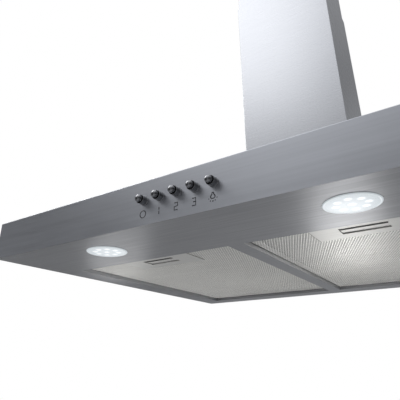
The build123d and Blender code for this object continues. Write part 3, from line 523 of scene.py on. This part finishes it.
def finish_for(name):
    """The named finish, made when it is first asked for."""
    if name in bpy.data.materials:
        return bpy.data.materials[name]
    colours = bpy.context.scene.range_hood.colours
    sizes = bpy.context.scene.range_hood.sizes
    left, right, down = (-1, 0, 0), (1, 0, 0), (0, 0, -1)
    # Painted shade for faces that look down, at 0.8 of the underside tone, and painted light for
    # side walls, at twice it
    painted_shade_below, painted_light_lip = (scaled(colours.shaded_under_steel, factor) for factor in (0.8, 2.0))
    makers = {
        "front_steel": lambda: brushed_metal(
            # Painted shade on the canopy's downward faces
            name, colours.steel, rough=(0.32, 0.4), tone=0.08, bump=0.2, edges=([down], painted_shade_below),
        ),
        # Painted shade: this finish is the darker copy of the steel
        "shaded_under_steel": lambda: brushed_metal(
            # Painted light on the side walls of the underside sheet
            name, colours.shaded_under_steel, rough=(0.32, 0.46), edges=([left, right], painted_light_lip),
        ),
        "chimney_steel": lambda: brushed_metal(
            name, colours.chimney_steel, rough=(0.26, 0.3), tone=0.02, bump=0.08,
        ),
        "zinc": lambda: zinc_sheet(name, (0.5, 0.51, 0.52)),
        "chrome": lambda: polished_chrome(name, colours.chrome),
        "black_plastic": lambda: moulded(name, (0.028, 0.028, 0.03)),
        "grey_plastic": lambda: moulded(name, (0.22, 0.225, 0.23)),
        "motor_enamel": lambda: moulded(name, (0.055, 0.06, 0.065), rough=(0.3, 0.42), grain=500.0),
        "rubber": lambda: moulded(name, (0.018, 0.018, 0.018), rough=(0.65, 0.8), grain=1500.0),
        "filter_strand": lambda: brushed_metal(
            name, colours.mesh, rough=(0.38, 0.55), tone=0.08, fine=900.0, broad=120.0,
        ),
        "filter_sheet": lambda: brushed_metal(
            name, scaled(colours.mesh, 0.7), rough=(0.4, 0.55), tone=0.1,
        ),
        "filter_pleats": lambda: brushed_metal(
            name, scaled(colours.mesh, 0.5), rough=(0.45, 0.6), tone=0.1,
        ),
        "latch_sheet": lambda: brushed_metal(
            name, scaled(colours.mesh, 0.6), rough=(0.46, 0.56), tone=0.05,
        ),
        "capacitor_can": lambda: brushed_metal(
            name, (0.66, 0.66, 0.67), rough=(0.25, 0.35), tone=0.05,
        ),
        "circuit_white": lambda: moulded(name, (0.72, 0.73, 0.7), rough=(0.35, 0.45)),
        "screw_zinc": lambda: brushed_metal(
            name, (0.55, 0.54, 0.5), rough=(0.25, 0.4), tone=0.1, fine=2500.0,
        ),
        "sign_ink": lambda: moulded(
            name, colours.print_ink, rough=(0.4, 0.5), grain=1200.0, depth=0.01 * MM,
        ),
        "lamp_lens": lambda: lit_lens(name, colours.lens, sizes.led_ring, sizes.led_count),
    }
    return makers[name]()


NODE_FINISHES = {
    "front_steel": ("canopy_shell",),
    # The underside sheet takes the darker copy of the steel, as painted shade
    "shaded_under_steel": ("underside_plate",),
    "chimney_steel": ("lower_chimney_cover", "upper_chimney_cover"),
    "zinc": (
        "rear_panel", "upper_wall_bracket", "blower_housing", "motor_bracket", "capacitor_clip",
    ),
    "chrome": BUTTONS + ("button_collars",),
    "black_plastic": (
        "switch_bank", "fan_wheel", "outlet_collar", "terminal_box", "terminal_box_lid",
        "cable_gland",
    ),
    "grey_plastic": (
        "left_scroll_half", "right_scroll_half", "front_flap", "rear_flap", "lamp_driver",
    ),
    "motor_enamel": ("motor",),
    "rubber": ("motor_rubber_mounts",),
    "capacitor_can": ("capacitor", "left_lamp_cup", "right_lamp_cup"),
    "circuit_white": ("left_lamp_board", "right_lamp_board"),
    "lamp_lens": ("left_lamp_diffuser", "right_lamp_diffuser"),
    "filter_strand": ("left_filter_mesh", "right_filter_mesh"),
    "filter_sheet": ("left_filter_frame", "right_filter_frame"),
    "filter_pleats": ("left_filter_core", "right_filter_core"),
    "latch_sheet": (
        "left_latch_cover", "right_latch_cover", "left_latch_slide", "right_latch_slide",
    ),
    "screw_zinc": (
        "lower_cover_screws", "upper_bracket_screws", "switch_bank_screws",
        "blower_housing_screws", "scroll_screws", "scroll_neck_screws", "motor_bracket_screws",
        "motor_shaft", "collar_screws", "flap_pin", "left_lamp_clips", "right_lamp_clips",
        "left_latch_spring", "right_latch_spring",
    ),
}


def paint(piece, finish):
    """Gives a piece one finish all over."""
    piece.data.materials.clear()
    piece.data.materials.append(finish_for(finish))


# Mesh helpers


def new_piece(name, mesh_source, finish, body):
    """Turns a bmesh into a finished piece that rides on a body."""
    mesh = bpy.data.meshes.new(name)
    mesh_source.to_mesh(mesh)
    mesh_source.free()
    piece = bpy.data.objects.new(name, mesh)
    bpy.context.scene.collection.objects.link(piece)
    paint(piece, finish)
    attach(piece, body)
    return piece


def add_turned(build, profile, origin, axis, steps):
    """Adds a closed turned shape: profile pairs are (radius, distance along axis)."""
    along = Vector(axis)
    first = along.orthogonal().normalized()
    second = along.cross(first)
    rings = []
    for radius, reach in profile:
        centre = Vector(origin) + along * reach
        if radius == 0:
            rings.append([build.verts.new(centre)] * steps)
            continue
        ring = []
        for step in range(steps):
            turn = 2 * math.pi * step / steps
            outward = math.cos(turn) * first + math.sin(turn) * second
            ring.append(build.verts.new(centre + radius * outward))
        rings.append(ring)
    pairs = list(zip(rings, rings[1:]))
    if profile[0][0] > 0:
        pairs.append((rings[-1], rings[0]))
    for low, high in pairs:
        for step in range(steps):
            after = (step + 1) % steps
            corners = [low[step], low[after], high[after], high[step]]
            unique = list(dict.fromkeys(corners))
            if len(unique) > 2:
                build.faces.new(unique).smooth = True


def close_up(build):
    """Merges doubled points and turns all faces outwards."""
    bmesh.ops.remove_doubles(build, verts=build.verts, dist=1e-7)
    bmesh.ops.recalc_face_normals(build, faces=build.faces)


def sharpen(piece, angle=35.0):
    """Marks the piece's sharp edges so that its flats stay flat under smooth shading."""
    build = bmesh.new()
    build.from_mesh(piece.data)
    for edge in build.edges:
        turned = len(edge.link_faces) == 2 and edge.calc_face_angle(0.0) > math.radians(angle)
        edge.smooth = not turned
    build.to_mesh(piece.data)
    build.free()


# Push buttons


class RANGEHOOD_OT_buttons(bpy.types.Operator):
    """Makes the domed button pins and their hollowed collars with base rings"""

    bl_idname = "rangehood.buttons"
    bl_label = "Push Buttons"

    def execute(self, context):
        collars = bmesh.new()
        low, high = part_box("button_collars")
        collar_radius = (high.z - low.z) / 2
        for node in BUTTONS:
            centre = middle(node)
            pin_low, pin_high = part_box(node)
            self.make_pin(node, centre, pin_low, pin_high)
            self.add_collar(collars, centre, low.y, collar_radius)
        close_up(collars)
        piece = new_piece("button_collar_set", collars, "chrome", "hood")
        sharpen(piece)
        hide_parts("button_collars")
        return {"FINISHED"}

    def make_pin(self, node, centre, low, high):
        """A round pin with a domed face, and its square stop and stem."""
        radius, dome, dome_power, dome_steps = 3.6 * MM, 0.95 * MM, 2.4, 8
        stop_half, stop_thickness = 4.6 * MM, 1.5 * MM
        stem_half, stem_length = 2.0 * MM, 12.0 * MM
        stem_y = high.y - stem_length
        stop_y = stem_y - stop_thickness
        build = bmesh.new()
        shares = [step / dome_steps for step in range(dome_steps + 1)]
        profile = [(share * radius, dome * share ** dome_power) for share in shares]
        profile += [(radius, stop_y - low.y), (0, stop_y - low.y)]
        add_turned(build, profile, (centre.x, low.y, centre.z), (0, 1, 0), 48)
        close_up(build)
        for half, start, end in ((stop_half, stop_y, stem_y), (stem_half, stem_y, high.y)):
            size = Matrix.Diagonal((2 * half, end - start, 2 * half, 1))
            place = Matrix.Translation((centre.x, (start + end) / 2, centre.z))
            bmesh.ops.create_cube(build, size=1.0, matrix=place @ size)
        piece = new_piece(node + "_pin", build, "chrome", node)
        sharpen(piece)
        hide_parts(node)

    def add_collar(self, build, centre, front, radius):
        """One collar: front hollowed towards its open bore, a step down to its base ring."""
        reach = FRONT_Y - front
        bore, hollow, edge = 3.65 * MM, 0.8 * MM, 0.2 * MM
        ring, ring_edge = radius + 0.35 * MM, 0.3 * MM
        step = reach - 1.1 * MM
        profile = [
            (bore, hollow), (radius - edge, 0), (radius, edge), (radius, step),
            (ring - ring_edge, step), (ring, step + ring_edge), (ring, reach), (bore, reach),
        ]
        add_turned(build, profile, (centre.x, front, centre.z), (0, 1, 0), 48)


# Signs under the buttons


def ring_stroke(radius, steps=24):
    """Points of a closed ring."""
    turns = [2 * math.pi * step / steps for step in range(steps)]
    return [(radius * math.cos(turn), radius * math.sin(turn)) for turn in turns]


def sign_strokes():
    """Strokes of the five signs in a square of side 1 about its middle: (points, closed)."""
    two = [(-0.27, 0.5), (0.27, 0.5), (0.27, 0.04), (-0.27, -0.04), (-0.27, -0.5), (0.27, -0.5)]
    three = [(-0.27, 0.5), (0.27, 0.5), (0.27, -0.5), (-0.27, -0.5)]
    bulb = [
        (-0.1, 0.62), (-0.13, 0.4), (-0.31, 0.16), (-0.31, -0.02), (-0.16, -0.16),
        (0.16, -0.16), (0.31, -0.02), (0.31, 0.16), (0.13, 0.4), (0.1, 0.62),
    ]
    rays = [
        [(-0.53, -0.12), (-0.64, -0.17)], [(-0.31, -0.39), (-0.38, -0.52)],
        [(0.0, -0.44), (0.0, -0.6)],
        [(0.31, -0.39), (0.38, -0.52)], [(0.53, -0.12), (0.64, -0.17)],
    ]
    return [
        [(ring_stroke(0.5), True)],
        [([(0.0, 0.5), (0.0, 0.1)], False), ([(0.0, -0.04), (0.0, -0.5)], False)],
        [(two, False)],
        [(three, False), ([(-0.12, 0.0), (0.27, 0.0)], False)],
        [(bulb, True)] + [(ray, False) for ray in rays],
    ]


class RANGEHOOD_OT_signs(bpy.types.Operator):
    """Prints the signs under the buttons"""

    bl_idname = "rangehood.signs"
    bl_label = "Button Signs"

    def execute(self, context):
        sizes = context.scene.range_hood.sizes
        curve = bpy.data.curves.new("button_signs", "CURVE")
        curve.dimensions = "3D"
        curve.bevel_depth = sizes.sign_stroke / 2
        curve.bevel_resolution = 1
        curve.use_fill_caps = True
        for node, strokes in zip(BUTTONS, sign_strokes()):
            x = middle(node).x - sizes.sign_shift
            for points, closed in strokes:
                spline = curve.splines.new("POLY")
                spline.points.add(len(points) - 1)
                spline.use_cyclic_u = closed
                for target, (u, v) in zip(spline.points, points):
                    z = sizes.sign_level + v * sizes.sign_height
                    target.co = (x + u * sizes.sign_height, 0.0, z, 1.0)
        holder = bpy.data.objects.new("button_signs_path", curve)
        context.scene.collection.objects.link(holder)
        mesh = bpy.data.meshes.new_from_object(
            holder.evaluated_get(context.evaluated_depsgraph_get())
        )
        bpy.data.objects.remove(holder)
        ink_depth = 0.06 * MM
        build = bmesh.new()
        build.from_mesh(mesh)
        for vert in build.verts:
            vert.co.y = FRONT_Y - ink_depth / 2 + vert.co.y / sizes.sign_stroke * ink_depth
        close_up(build)
        new_piece("button_signs", build, "sign_ink", "hood")
        return {"FINISHED"}


# Grease filter mesh


def strand_tree():
    """Geometry nodes: a row of equal strands, side by side along X, at one slope."""
    tree = bpy.data.node_groups.new("mesh_strands", "GeometryNodeTree")
    wanted = [
        ("Count", "NodeSocketInt", 10), ("Pitch", "NodeSocketFloat", 0.004),
        ("Length", "NodeSocketFloat", 0.4), ("Strand", "NodeSocketFloat", 0.001),
        ("Thickness", "NodeSocketFloat", 0.0004), ("Slope", "NodeSocketFloat", 1.0),
        ("Start", "NodeSocketVector", (0.0, 0.0, 0.0)), ("Finish", "NodeSocketMaterial", None),
    ]
    for label, kind, value in wanted:
        socket = tree.interface.new_socket(label, in_out="INPUT", socket_type=kind)
        if value is not None:
            socket.default_value = value
    tree.interface.new_socket("Geometry", in_out="OUTPUT", socket_type="NodeSocketGeometry")
    given = tree.nodes.new("NodeGroupInput").outputs
    out = tree.nodes.new("NodeGroupOutput")
    step = add_node(tree, "ShaderNodeCombineXYZ", {0: given["Pitch"]})
    row = add_node(
        tree, "GeometryNodeMeshLine",
        {"Count": given["Count"], "Start Location": given["Start"], "Offset": step.outputs[0]},
    )
    size = add_node(
        tree, "ShaderNodeCombineXYZ",
        {0: given["Length"], 1: given["Strand"], 2: given["Thickness"]}
    )
    strand = add_node(tree, "GeometryNodeMeshCube", {"Size": size.outputs[0]})
    turn = add_node(tree, "ShaderNodeCombineXYZ", {2: given["Slope"]})
    copies = add_node(
        tree, "GeometryNodeInstanceOnPoints",
        {
            "Points": row.outputs["Mesh"], "Instance": strand.outputs["Mesh"],
            "Rotation": turn.outputs[0],
        },
    )
    real = add_node(tree, "GeometryNodeRealizeInstances", {"Geometry": copies.outputs["Instances"]})
    dressed = add_node(
        tree, "GeometryNodeSetMaterial",
        {"Geometry": real.outputs["Geometry"], "Material": given["Finish"]}
    )
    tree.links.new(dressed.outputs["Geometry"], out.inputs["Geometry"])
    return tree


def strands_mesh(tree, values):
    """The evaluated result of the strand tree with the given inputs, as a plain mesh."""
    holder = bpy.data.objects.new("strand_holder", bpy.data.meshes.new("strand_holder"))
    bpy.context.scene.collection.objects.link(holder)
    modifier = holder.modifiers.new("strands", "NODES")
    modifier.node_group = tree
    for item in tree.interface.items_tree:
        if item.in_out == "INPUT":
            modifier[item.identifier] = values[item.name]
    graph = bpy.context.evaluated_depsgraph_get()
    mesh = bpy.data.meshes.new_from_object(holder.evaluated_get(graph))
    holder.modifiers.remove(modifier)
    bpy.data.objects.remove(holder)
    return mesh


def trimmed(mesh, x_limits, y_limits):
    """A copy of a mesh cut off at a rectangle, with its cut ends closed."""
    build = bmesh.new()
    build.from_mesh(mesh)
    planes = [
        ((x_limits[0], 0, 0), (-1, 0, 0)), ((x_limits[1], 0, 0), (1, 0, 0)),
        ((0, y_limits[0], 0), (0, -1, 0)), ((0, y_limits[1], 0), (0, 1, 0)),
    ]
    for point, normal in planes:
        everything = build.verts[:] + build.edges[:] + build.faces[:]
        cut = bmesh.ops.bisect_plane(
            build, geom=everything, plane_co=point, plane_no=normal, clear_outer=True
        )
        edges = [item for item in cut["geom_cut"] if isinstance(item, bmesh.types.BMEdge)]
        bmesh.ops.edgenet_fill(build, edges=edges)
    return build


class RANGEHOOD_OT_filter_mesh(bpy.types.Operator):
    """Makes the fine diamond mesh of both grease filters from crossing strands"""

    bl_idname = "rangehood.filter_mesh"
    bl_label = "Filter Mesh"

    def execute(self, context):
        sizes = context.scene.range_hood.sizes
        tree = strand_tree()
        for side in SIDES:
            low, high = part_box(side + "_filter_mesh")
            cover_low, cover_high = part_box(side + "_latch_cover")
            gap, upper_lift = 1.2 * MM, 0.15
            rectangles = [
                ((low.x, cover_low.x - gap), (low.y, high.y)),
                ((cover_high.x + gap, high.x), (low.y, high.y)),
                ((cover_low.x - gap, cover_high.x + gap), (cover_high.y + gap, high.y)),
            ]
            joined = bmesh.new()
            for slope_sign, lift in ((1, 0.0), (-1, upper_lift)):
                mesh = self.strand_family(tree, sizes, low, high, slope_sign, lift)
                for x_limits, y_limits in rectangles:
                    part = trimmed(mesh, x_limits, y_limits)
                    holder = bpy.data.meshes.new("strand_part")
                    part.to_mesh(holder)
                    part.free()
                    joined.from_mesh(holder)
                    bpy.data.meshes.remove(holder)
            bmesh.ops.recalc_face_normals(joined, faces=joined.faces)
            name = side + "_filter_strands"
            piece = new_piece(name, joined, "filter_strand", side + "_filter")
            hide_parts(side + "_filter_mesh")
        return {"FINISHED"}

    def strand_family(self, tree, sizes, low, high, slope_sign, lift):
        """All strands of one direction over a filter, before they are cut to shape.

        The lift is a share of their thickness, so that no faces of both directions share a plane.
        """
        spare_strands, spare_length = 2, 10 * MM
        slope = math.atan2(sizes.mesh_rise, sizes.mesh_pitch)
        lean = (high.y - low.y) / math.tan(slope)
        count = math.ceil((high.x - low.x + lean) / sizes.mesh_pitch) + spare_strands
        centre = (low + high) / 2
        start_x = centre.x - (count - 1) * sizes.mesh_pitch / 2
        z = low.z + sizes.mesh_thickness * (0.5 + lift)
        length = (high.y - low.y) / math.sin(slope) + spare_length
        values = {
            "Count": count, "Pitch": sizes.mesh_pitch, "Length": length,
            "Strand": sizes.mesh_strand, "Thickness": sizes.mesh_thickness,
            "Slope": slope_sign * slope,
            "Start": (start_x, centre.y, z), "Finish": finish_for("filter_strand"),
        }
        return strands_mesh(tree, values)


# Latch springs


class RANGEHOOD_OT_latch_springs(bpy.types.Operator):
    """Makes the bowed leaf springs of the latches, in their resting bow"""

    bl_idname = "rangehood.latch_springs"
    bl_label = "Latch Springs"

    def execute(self, context):
        for side in SIDES:
            node = side + "_latch_spring"
            low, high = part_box(node)
            leaf = self.bowed_leaf(low, high)
            name = side + "_leaf_spring"
            piece = new_piece(name, leaf, "screw_zinc", side + "_filter")
            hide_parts(node)
            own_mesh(piece)
        return {"FINISHED"}

    def bowed_leaf(self, low, high):
        """A strip of spring sheet along a flat arc, with its middle forward."""
        sheet, steps = 0.4 * MM, 32
        half, rise = (high.x - low.x) / 2, high.y - low.y - sheet
        bend = (half ** 2 + rise ** 2) / (2 * rise)
        centre_x, centre_y = (low.x + high.x) / 2, low.y + bend
        build = bmesh.new()
        rows = []
        for step in range(steps + 1):
            x = half * (2 * step / steps - 1)
            y = centre_y - math.sqrt(bend ** 2 - x ** 2)
            corners = ((y, low.z), (y + sheet, low.z), (y + sheet, high.z), (y, high.z))
            rows.append([build.verts.new((centre_x + x, across, z)) for across, z in corners])
        for first, second in zip(rows, rows[1:]):
            for corner in range(4):
                after = (corner + 1) % 4
                build.faces.new((first[corner], first[after], second[after], second[corner]))
        build.faces.new(rows[0])
        build.faces.new(rows[-1])
        close_up(build)
        return build


# Lamps


class RANGEHOOD_OT_lamps(bpy.types.Operator):
    """Makes the frosted lenses with their rounded rims"""

    bl_idname = "rangehood.lamps"
    bl_label = "Lamp Lenses"

    def execute(self, context):
        for side in SIDES:
            node = side + "_lamp_diffuser"
            low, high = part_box(node)
            centre = (low + high) / 2
            radius, depth = (high.x - low.x) / 2, high.z - low.z
            rim, inset, groove = 1.3 * MM, 0.05 * depth, 0.14 * depth
            build = bmesh.new()
            profile = [
                (0, inset), (radius - 2.2 * rim, inset), (radius - 1.8 * rim, groove),
                (radius - 1.5 * rim, groove), (radius - 1.2 * rim, 0), (radius - 0.5 * rim, 0),
                (radius - 0.15 * rim, 0.25 * depth), (radius, 0.6 * depth),
                (radius, depth), (0, depth),
            ]
            add_turned(build, profile, (centre.x, centre.y, low.z), (0, 0, 1), 72)
            close_up(build)
            piece = new_piece(side + "_lamp_lens", build, "lamp_lens", "hood")
            sharpen(piece, angle=60.0)
            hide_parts(node)
        return {"FINISHED"}


# Finishes of the CAD pieces


class RANGEHOOD_OT_finishes(bpy.types.Operator):
    """Gives every CAD piece its finish"""

    bl_idname = "rangehood.finishes"
    bl_label = "Sheet and Plastic Finishes"

    def execute(self, context):
        for finish, nodes in NODE_FINISHES.items():
            for node in nodes:
                paint(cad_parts[node], finish)
        return {"FINISHED"}


# Stage

# Where each light of the surroundings starts and where it is full, along one part of the unit
# vector that points at it
OVERHEAD_Z = (0.335, 0.77)
BAND_LEFT_X, BAND_RIGHT_X = (-0.7, -0.34), (-0.05, -0.29)
HORIZON_Z = (0.12, -0.08)
BEHIND_Y = (-0.1, 0.5)
REAR_Z = (0.3, 1.15)
REAR_GLOW_Y, REAR_GLOW_Z = (0.78, 0.9), (-0.32, -0.2)
FLANKS_X = ((0.42, 0.8), (-0.82, -0.96))
BACKDROP_COSINE = (0.9, 0.97)
STUDIO_TINT = (0.95, 0.965, 1.0, 1.0)

FLOOR_RADIUS, FLOOR_STEPS, FLOOR_Y = 9.0, 96, -0.3
# Distance from the middle at which the floor starts to fade to white, and has faded
FLOOR_FADE = (3.0, 8.5)

KEY_LAMP = {"place": (-1.2, -2.0, 2.6), "aim": (0, -0.3, 0.3), "size": (1.8, 1.4)}
RIM_LAMP = {"place": (-1.0, -0.77, 0.98), "aim": (0, -0.55, 0.03), "size": (0.5, 0.5)}
# Place of each pool lamp from its lens, and its share of the pool power
POOL_LAMPS = {"left": ((-0.17, 0.19, -0.08), 0.42), "right": ((-0.08, 0.34, -0.12), 1.5)}
POOL_SOFTNESS = 0.06


def fade(tree, value, span, level=1.0):
    """Rises smoothly from 0 at the start of a span to a level at its end."""
    return remap(tree, value, span[0], span[1], 0.0, level, smooth=True)


def place_lamp(name, light, power, place):
    """Puts a light in the scene, out of the camera's sight."""
    light.energy = power
    lamp = bpy.data.objects.new(name, light)
    lamp.location = place
    lamp.visible_camera = False
    bpy.context.scene.collection.objects.link(lamp)
    return lamp


def add_area_lamp(name, power, place, aim, size):
    """A soft rectangular lamp that looks from one point at another."""
    light = bpy.data.lights.new(name, "AREA")
    light.shape = "RECTANGLE"
    light.size, light.size_y = size
    lamp = place_lamp(name, light, power, place)
    lamp.rotation_euler = (Vector(aim) - Vector(place)).to_track_quat("-Z", "Y").to_euler()


def add_pool_lamp(name, power, place):
    """A small round lamp that leaves a pool of light on the underside."""
    light = bpy.data.lights.new(name, "POINT")
    light.shadow_soft_size = POOL_SOFTNESS
    place_lamp(name, light, power, place)


class RANGEHOOD_OT_stage(bpy.types.Operator):
    """Sets the floor, the studio light and the camera"""

    bl_idname = "rangehood.stage"
    bl_label = "Stage"

    def execute(self, context):
        studio = context.scene.range_hood.studio
        self.make_world(context, studio)
        self.make_floor(context, studio)
        self.make_lamps(studio)
        self.make_camera(context)
        context.scene.view_settings.view_transform = "Standard"
        return {"FINISHED"}

    def make_world(self, context, studio):
        """White in the camera's view; elsewhere a studio, bright overhead and at the flanks."""
        world = bpy.data.worlds.new("studio")
        context.scene.world = world
        world.use_nodes = True
        tree = world.node_tree
        tree.nodes.clear()
        way = add_node(tree, "ShaderNodeTexCoord").outputs["Generated"]
        level = self.surround_level(tree, way, studio)
        white = self.white_share(tree, way)
        strength = add_node(tree, "ShaderNodeMix", {0: white, 2: level, 3: 1.0}).outputs[0]
        tint = blend_colour(tree, white, STUDIO_TINT, grey(1.0))
        shade = add_node(tree, "ShaderNodeBackground", {"Color": tint, "Strength": strength})
        out = add_node(tree, "ShaderNodeOutputWorld")
        tree.links.new(shade.outputs[0], out.inputs["Surface"])

    def surround_level(self, tree, way, studio):
        """Brightness of the surroundings in each direction, as the object sees them."""
        x, y, z = add_node(tree, "ShaderNodeSeparateXYZ", {0: way}).outputs
        front = remap(tree, z, *OVERHEAD_Z, studio.low_level, studio.high_level, smooth=True)
        band = fade(tree, x, BAND_LEFT_X, studio.band_level)
        band = calc(tree, "MULTIPLY", band, fade(tree, x, BAND_RIGHT_X))
        front = calc(tree, "ADD", front, band)
        front = calc(tree, "ADD", front, fade(tree, z, HORIZON_Z, studio.horizon_level))
        rear = remap(tree, z, *REAR_Z, studio.rear_level, studio.high_level / 2)
        glow = fade(tree, y, REAR_GLOW_Y, studio.glow_level)
        glow = calc(tree, "MULTIPLY", glow, fade(tree, z, REAR_GLOW_Z))
        rear = calc(tree, "ADD", rear, glow)
        behind = fade(tree, y, BEHIND_Y)
        level = add_node(tree, "ShaderNodeMix", {0: behind, 2: front, 3: rear}).outputs[0]
        for span in FLANKS_X:
            level = calc(tree, "ADD", level, fade(tree, x, span, studio.flank_level))
        return level

    def white_share(self, tree, way):
        """1 for what the camera sees of the surroundings, also mirrored or through glass."""
        axis = Vector((-math.sin(VIEW_TURN), math.cos(VIEW_TURN), math.tan(VIEW_RISE))).normalized()
        aimed = add_node(tree, "ShaderNodeVectorMath", {0: way, 1: axis}, operation="DOT_PRODUCT")
        backdrop = fade(tree, aimed.outputs["Value"], BACKDROP_COSINE)
        rays = add_node(tree, "ShaderNodeLightPath").outputs
        mirrored = calc(tree, "MAXIMUM", rays["Is Glossy Ray"], rays["Is Transmission Ray"])
        mirrored = calc(tree, "MULTIPLY", mirrored, backdrop)
        return calc(tree, "MAXIMUM", rays["Is Camera Ray"], mirrored)

    def make_floor(self, context, studio):
        """A wide pale disc that fades into the white surroundings at its edge."""
        build = bmesh.new()
        bmesh.ops.create_circle(build, cap_ends=True, segments=FLOOR_STEPS, radius=FLOOR_RADIUS)
        bmesh.ops.translate(build, verts=build.verts, vec=(0, FLOOR_Y, -studio.floor_drop))
        mesh = bpy.data.meshes.new("floor")
        build.to_mesh(mesh)
        build.free()
        floor = bpy.data.objects.new("floor", mesh)
        context.scene.collection.objects.link(floor)
        made, tree, shader = start_material("floor_paint", Roughness=0.8)
        place = add_node(tree, "ShaderNodeTexCoord").outputs["Object"]
        away = add_node(tree, "ShaderNodeVectorMath", {0: place}, operation="LENGTH")
        cloud = add_node(tree, "ShaderNodeTexNoise", {"Vector": place, "Scale": 2.0, "Detail": 3.0})
        tint = blend_colour(tree, cloud.outputs["Fac"], grey(0.68), grey(0.72))
        tree.links.new(tint, shader.inputs["Base Color"])
        far = fade(tree, away.outputs["Value"], FLOOR_FADE)
        rays = add_node(tree, "ShaderNodeLightPath").outputs
        far = calc(tree, "MULTIPLY", far, rays["Is Camera Ray"])
        glow = add_node(tree, "ShaderNodeEmission", {"Strength": 1.0})
        sources = {0: far, 1: shader.outputs[0], 2: glow.outputs[0]}
        mixed = add_node(tree, "ShaderNodeMixShader", sources)
        tree.links.new(mixed.outputs[0], tree.nodes["Material Output"].inputs["Surface"])
        mesh.materials.append(made)

    def make_lamps(self, studio):
        """The key lamp, the rim lamp, and a faint lamp under each lens for its pool of light."""
        add_area_lamp("key_lamp", studio.key_power, **KEY_LAMP)
        add_area_lamp("rim_lamp", studio.rim_power, **RIM_LAMP)
        for side, (offset, share) in POOL_LAMPS.items():
            place = middle(side + "_lamp_diffuser") + Vector(offset)
            add_pool_lamp(side + "_pool", studio.pool_power * share, place)

    def make_camera(self, context):
        """The photograph's view, looking up at the hood's underside from its right."""
        data = bpy.data.cameras.new("photo_camera")
        data.sensor_width, data.lens = SENSOR_WIDTH, FOCAL_LENGTH
        data.shift_x, data.shift_y = SHIFT_X, SHIFT_Y
        data.clip_start, data.clip_end = 0.01, 100.0
        camera = bpy.data.objects.new("photo_camera", data)
        camera.location = CAMERA_PLACE
        camera.rotation_euler = Euler((math.pi / 2 + VIEW_RISE, 0.0, VIEW_TURN))
        context.scene.collection.objects.link(camera)
        context.scene.camera = camera


# Panel and registration


class RANGEHOOD_PT_panel(bpy.types.Panel):
    """Lists the hood's settings and its makers"""

    bl_idname = "RANGEHOOD_PT_panel"
    bl_label = "Range Hood"
    bl_space_type = "VIEW_3D"
    bl_region_type = "UI"
    bl_category = "Range Hood"

    def draw(self, context):
        settings = context.scene.range_hood
        for title in ("Colours", "Sizes", "Studio"):
            group = getattr(settings, title.lower())
            box = self.layout.box()
            box.label(text=title)
            for name in group.__annotations__:
                box.prop(group, name)
        for operator in OPERATORS:
            self.layout.operator(operator.bl_idname)


OPERATORS = (
    RANGEHOOD_OT_finishes,
    RANGEHOOD_OT_filter_mesh,
    RANGEHOOD_OT_buttons,
    RANGEHOOD_OT_signs,
    RANGEHOOD_OT_latch_springs,
    RANGEHOOD_OT_lamps,
    RANGEHOOD_OT_stage,
)
CLASSES = (HoodColours, HoodSizes, StudioSettings, HoodSettings) + OPERATORS + (RANGEHOOD_PT_panel,)


def register():
    for item in CLASSES:
        bpy.utils.register_class(item)
    bpy.types.Scene.range_hood = PointerProperty(type=HoodSettings)


def unregister():
    del bpy.types.Scene.range_hood
    for item in reversed(CLASSES):
        bpy.utils.unregister_class(item)


def main():
    register()
    bpy.ops.rangehood.finishes()
    bpy.ops.rangehood.filter_mesh()
    bpy.ops.rangehood.buttons()
    bpy.ops.rangehood.signs()
    bpy.ops.rangehood.latch_springs()
    bpy.ops.rangehood.lamps()
    bpy.ops.rangehood.stage()


if __name__ == "__main__":
    main()
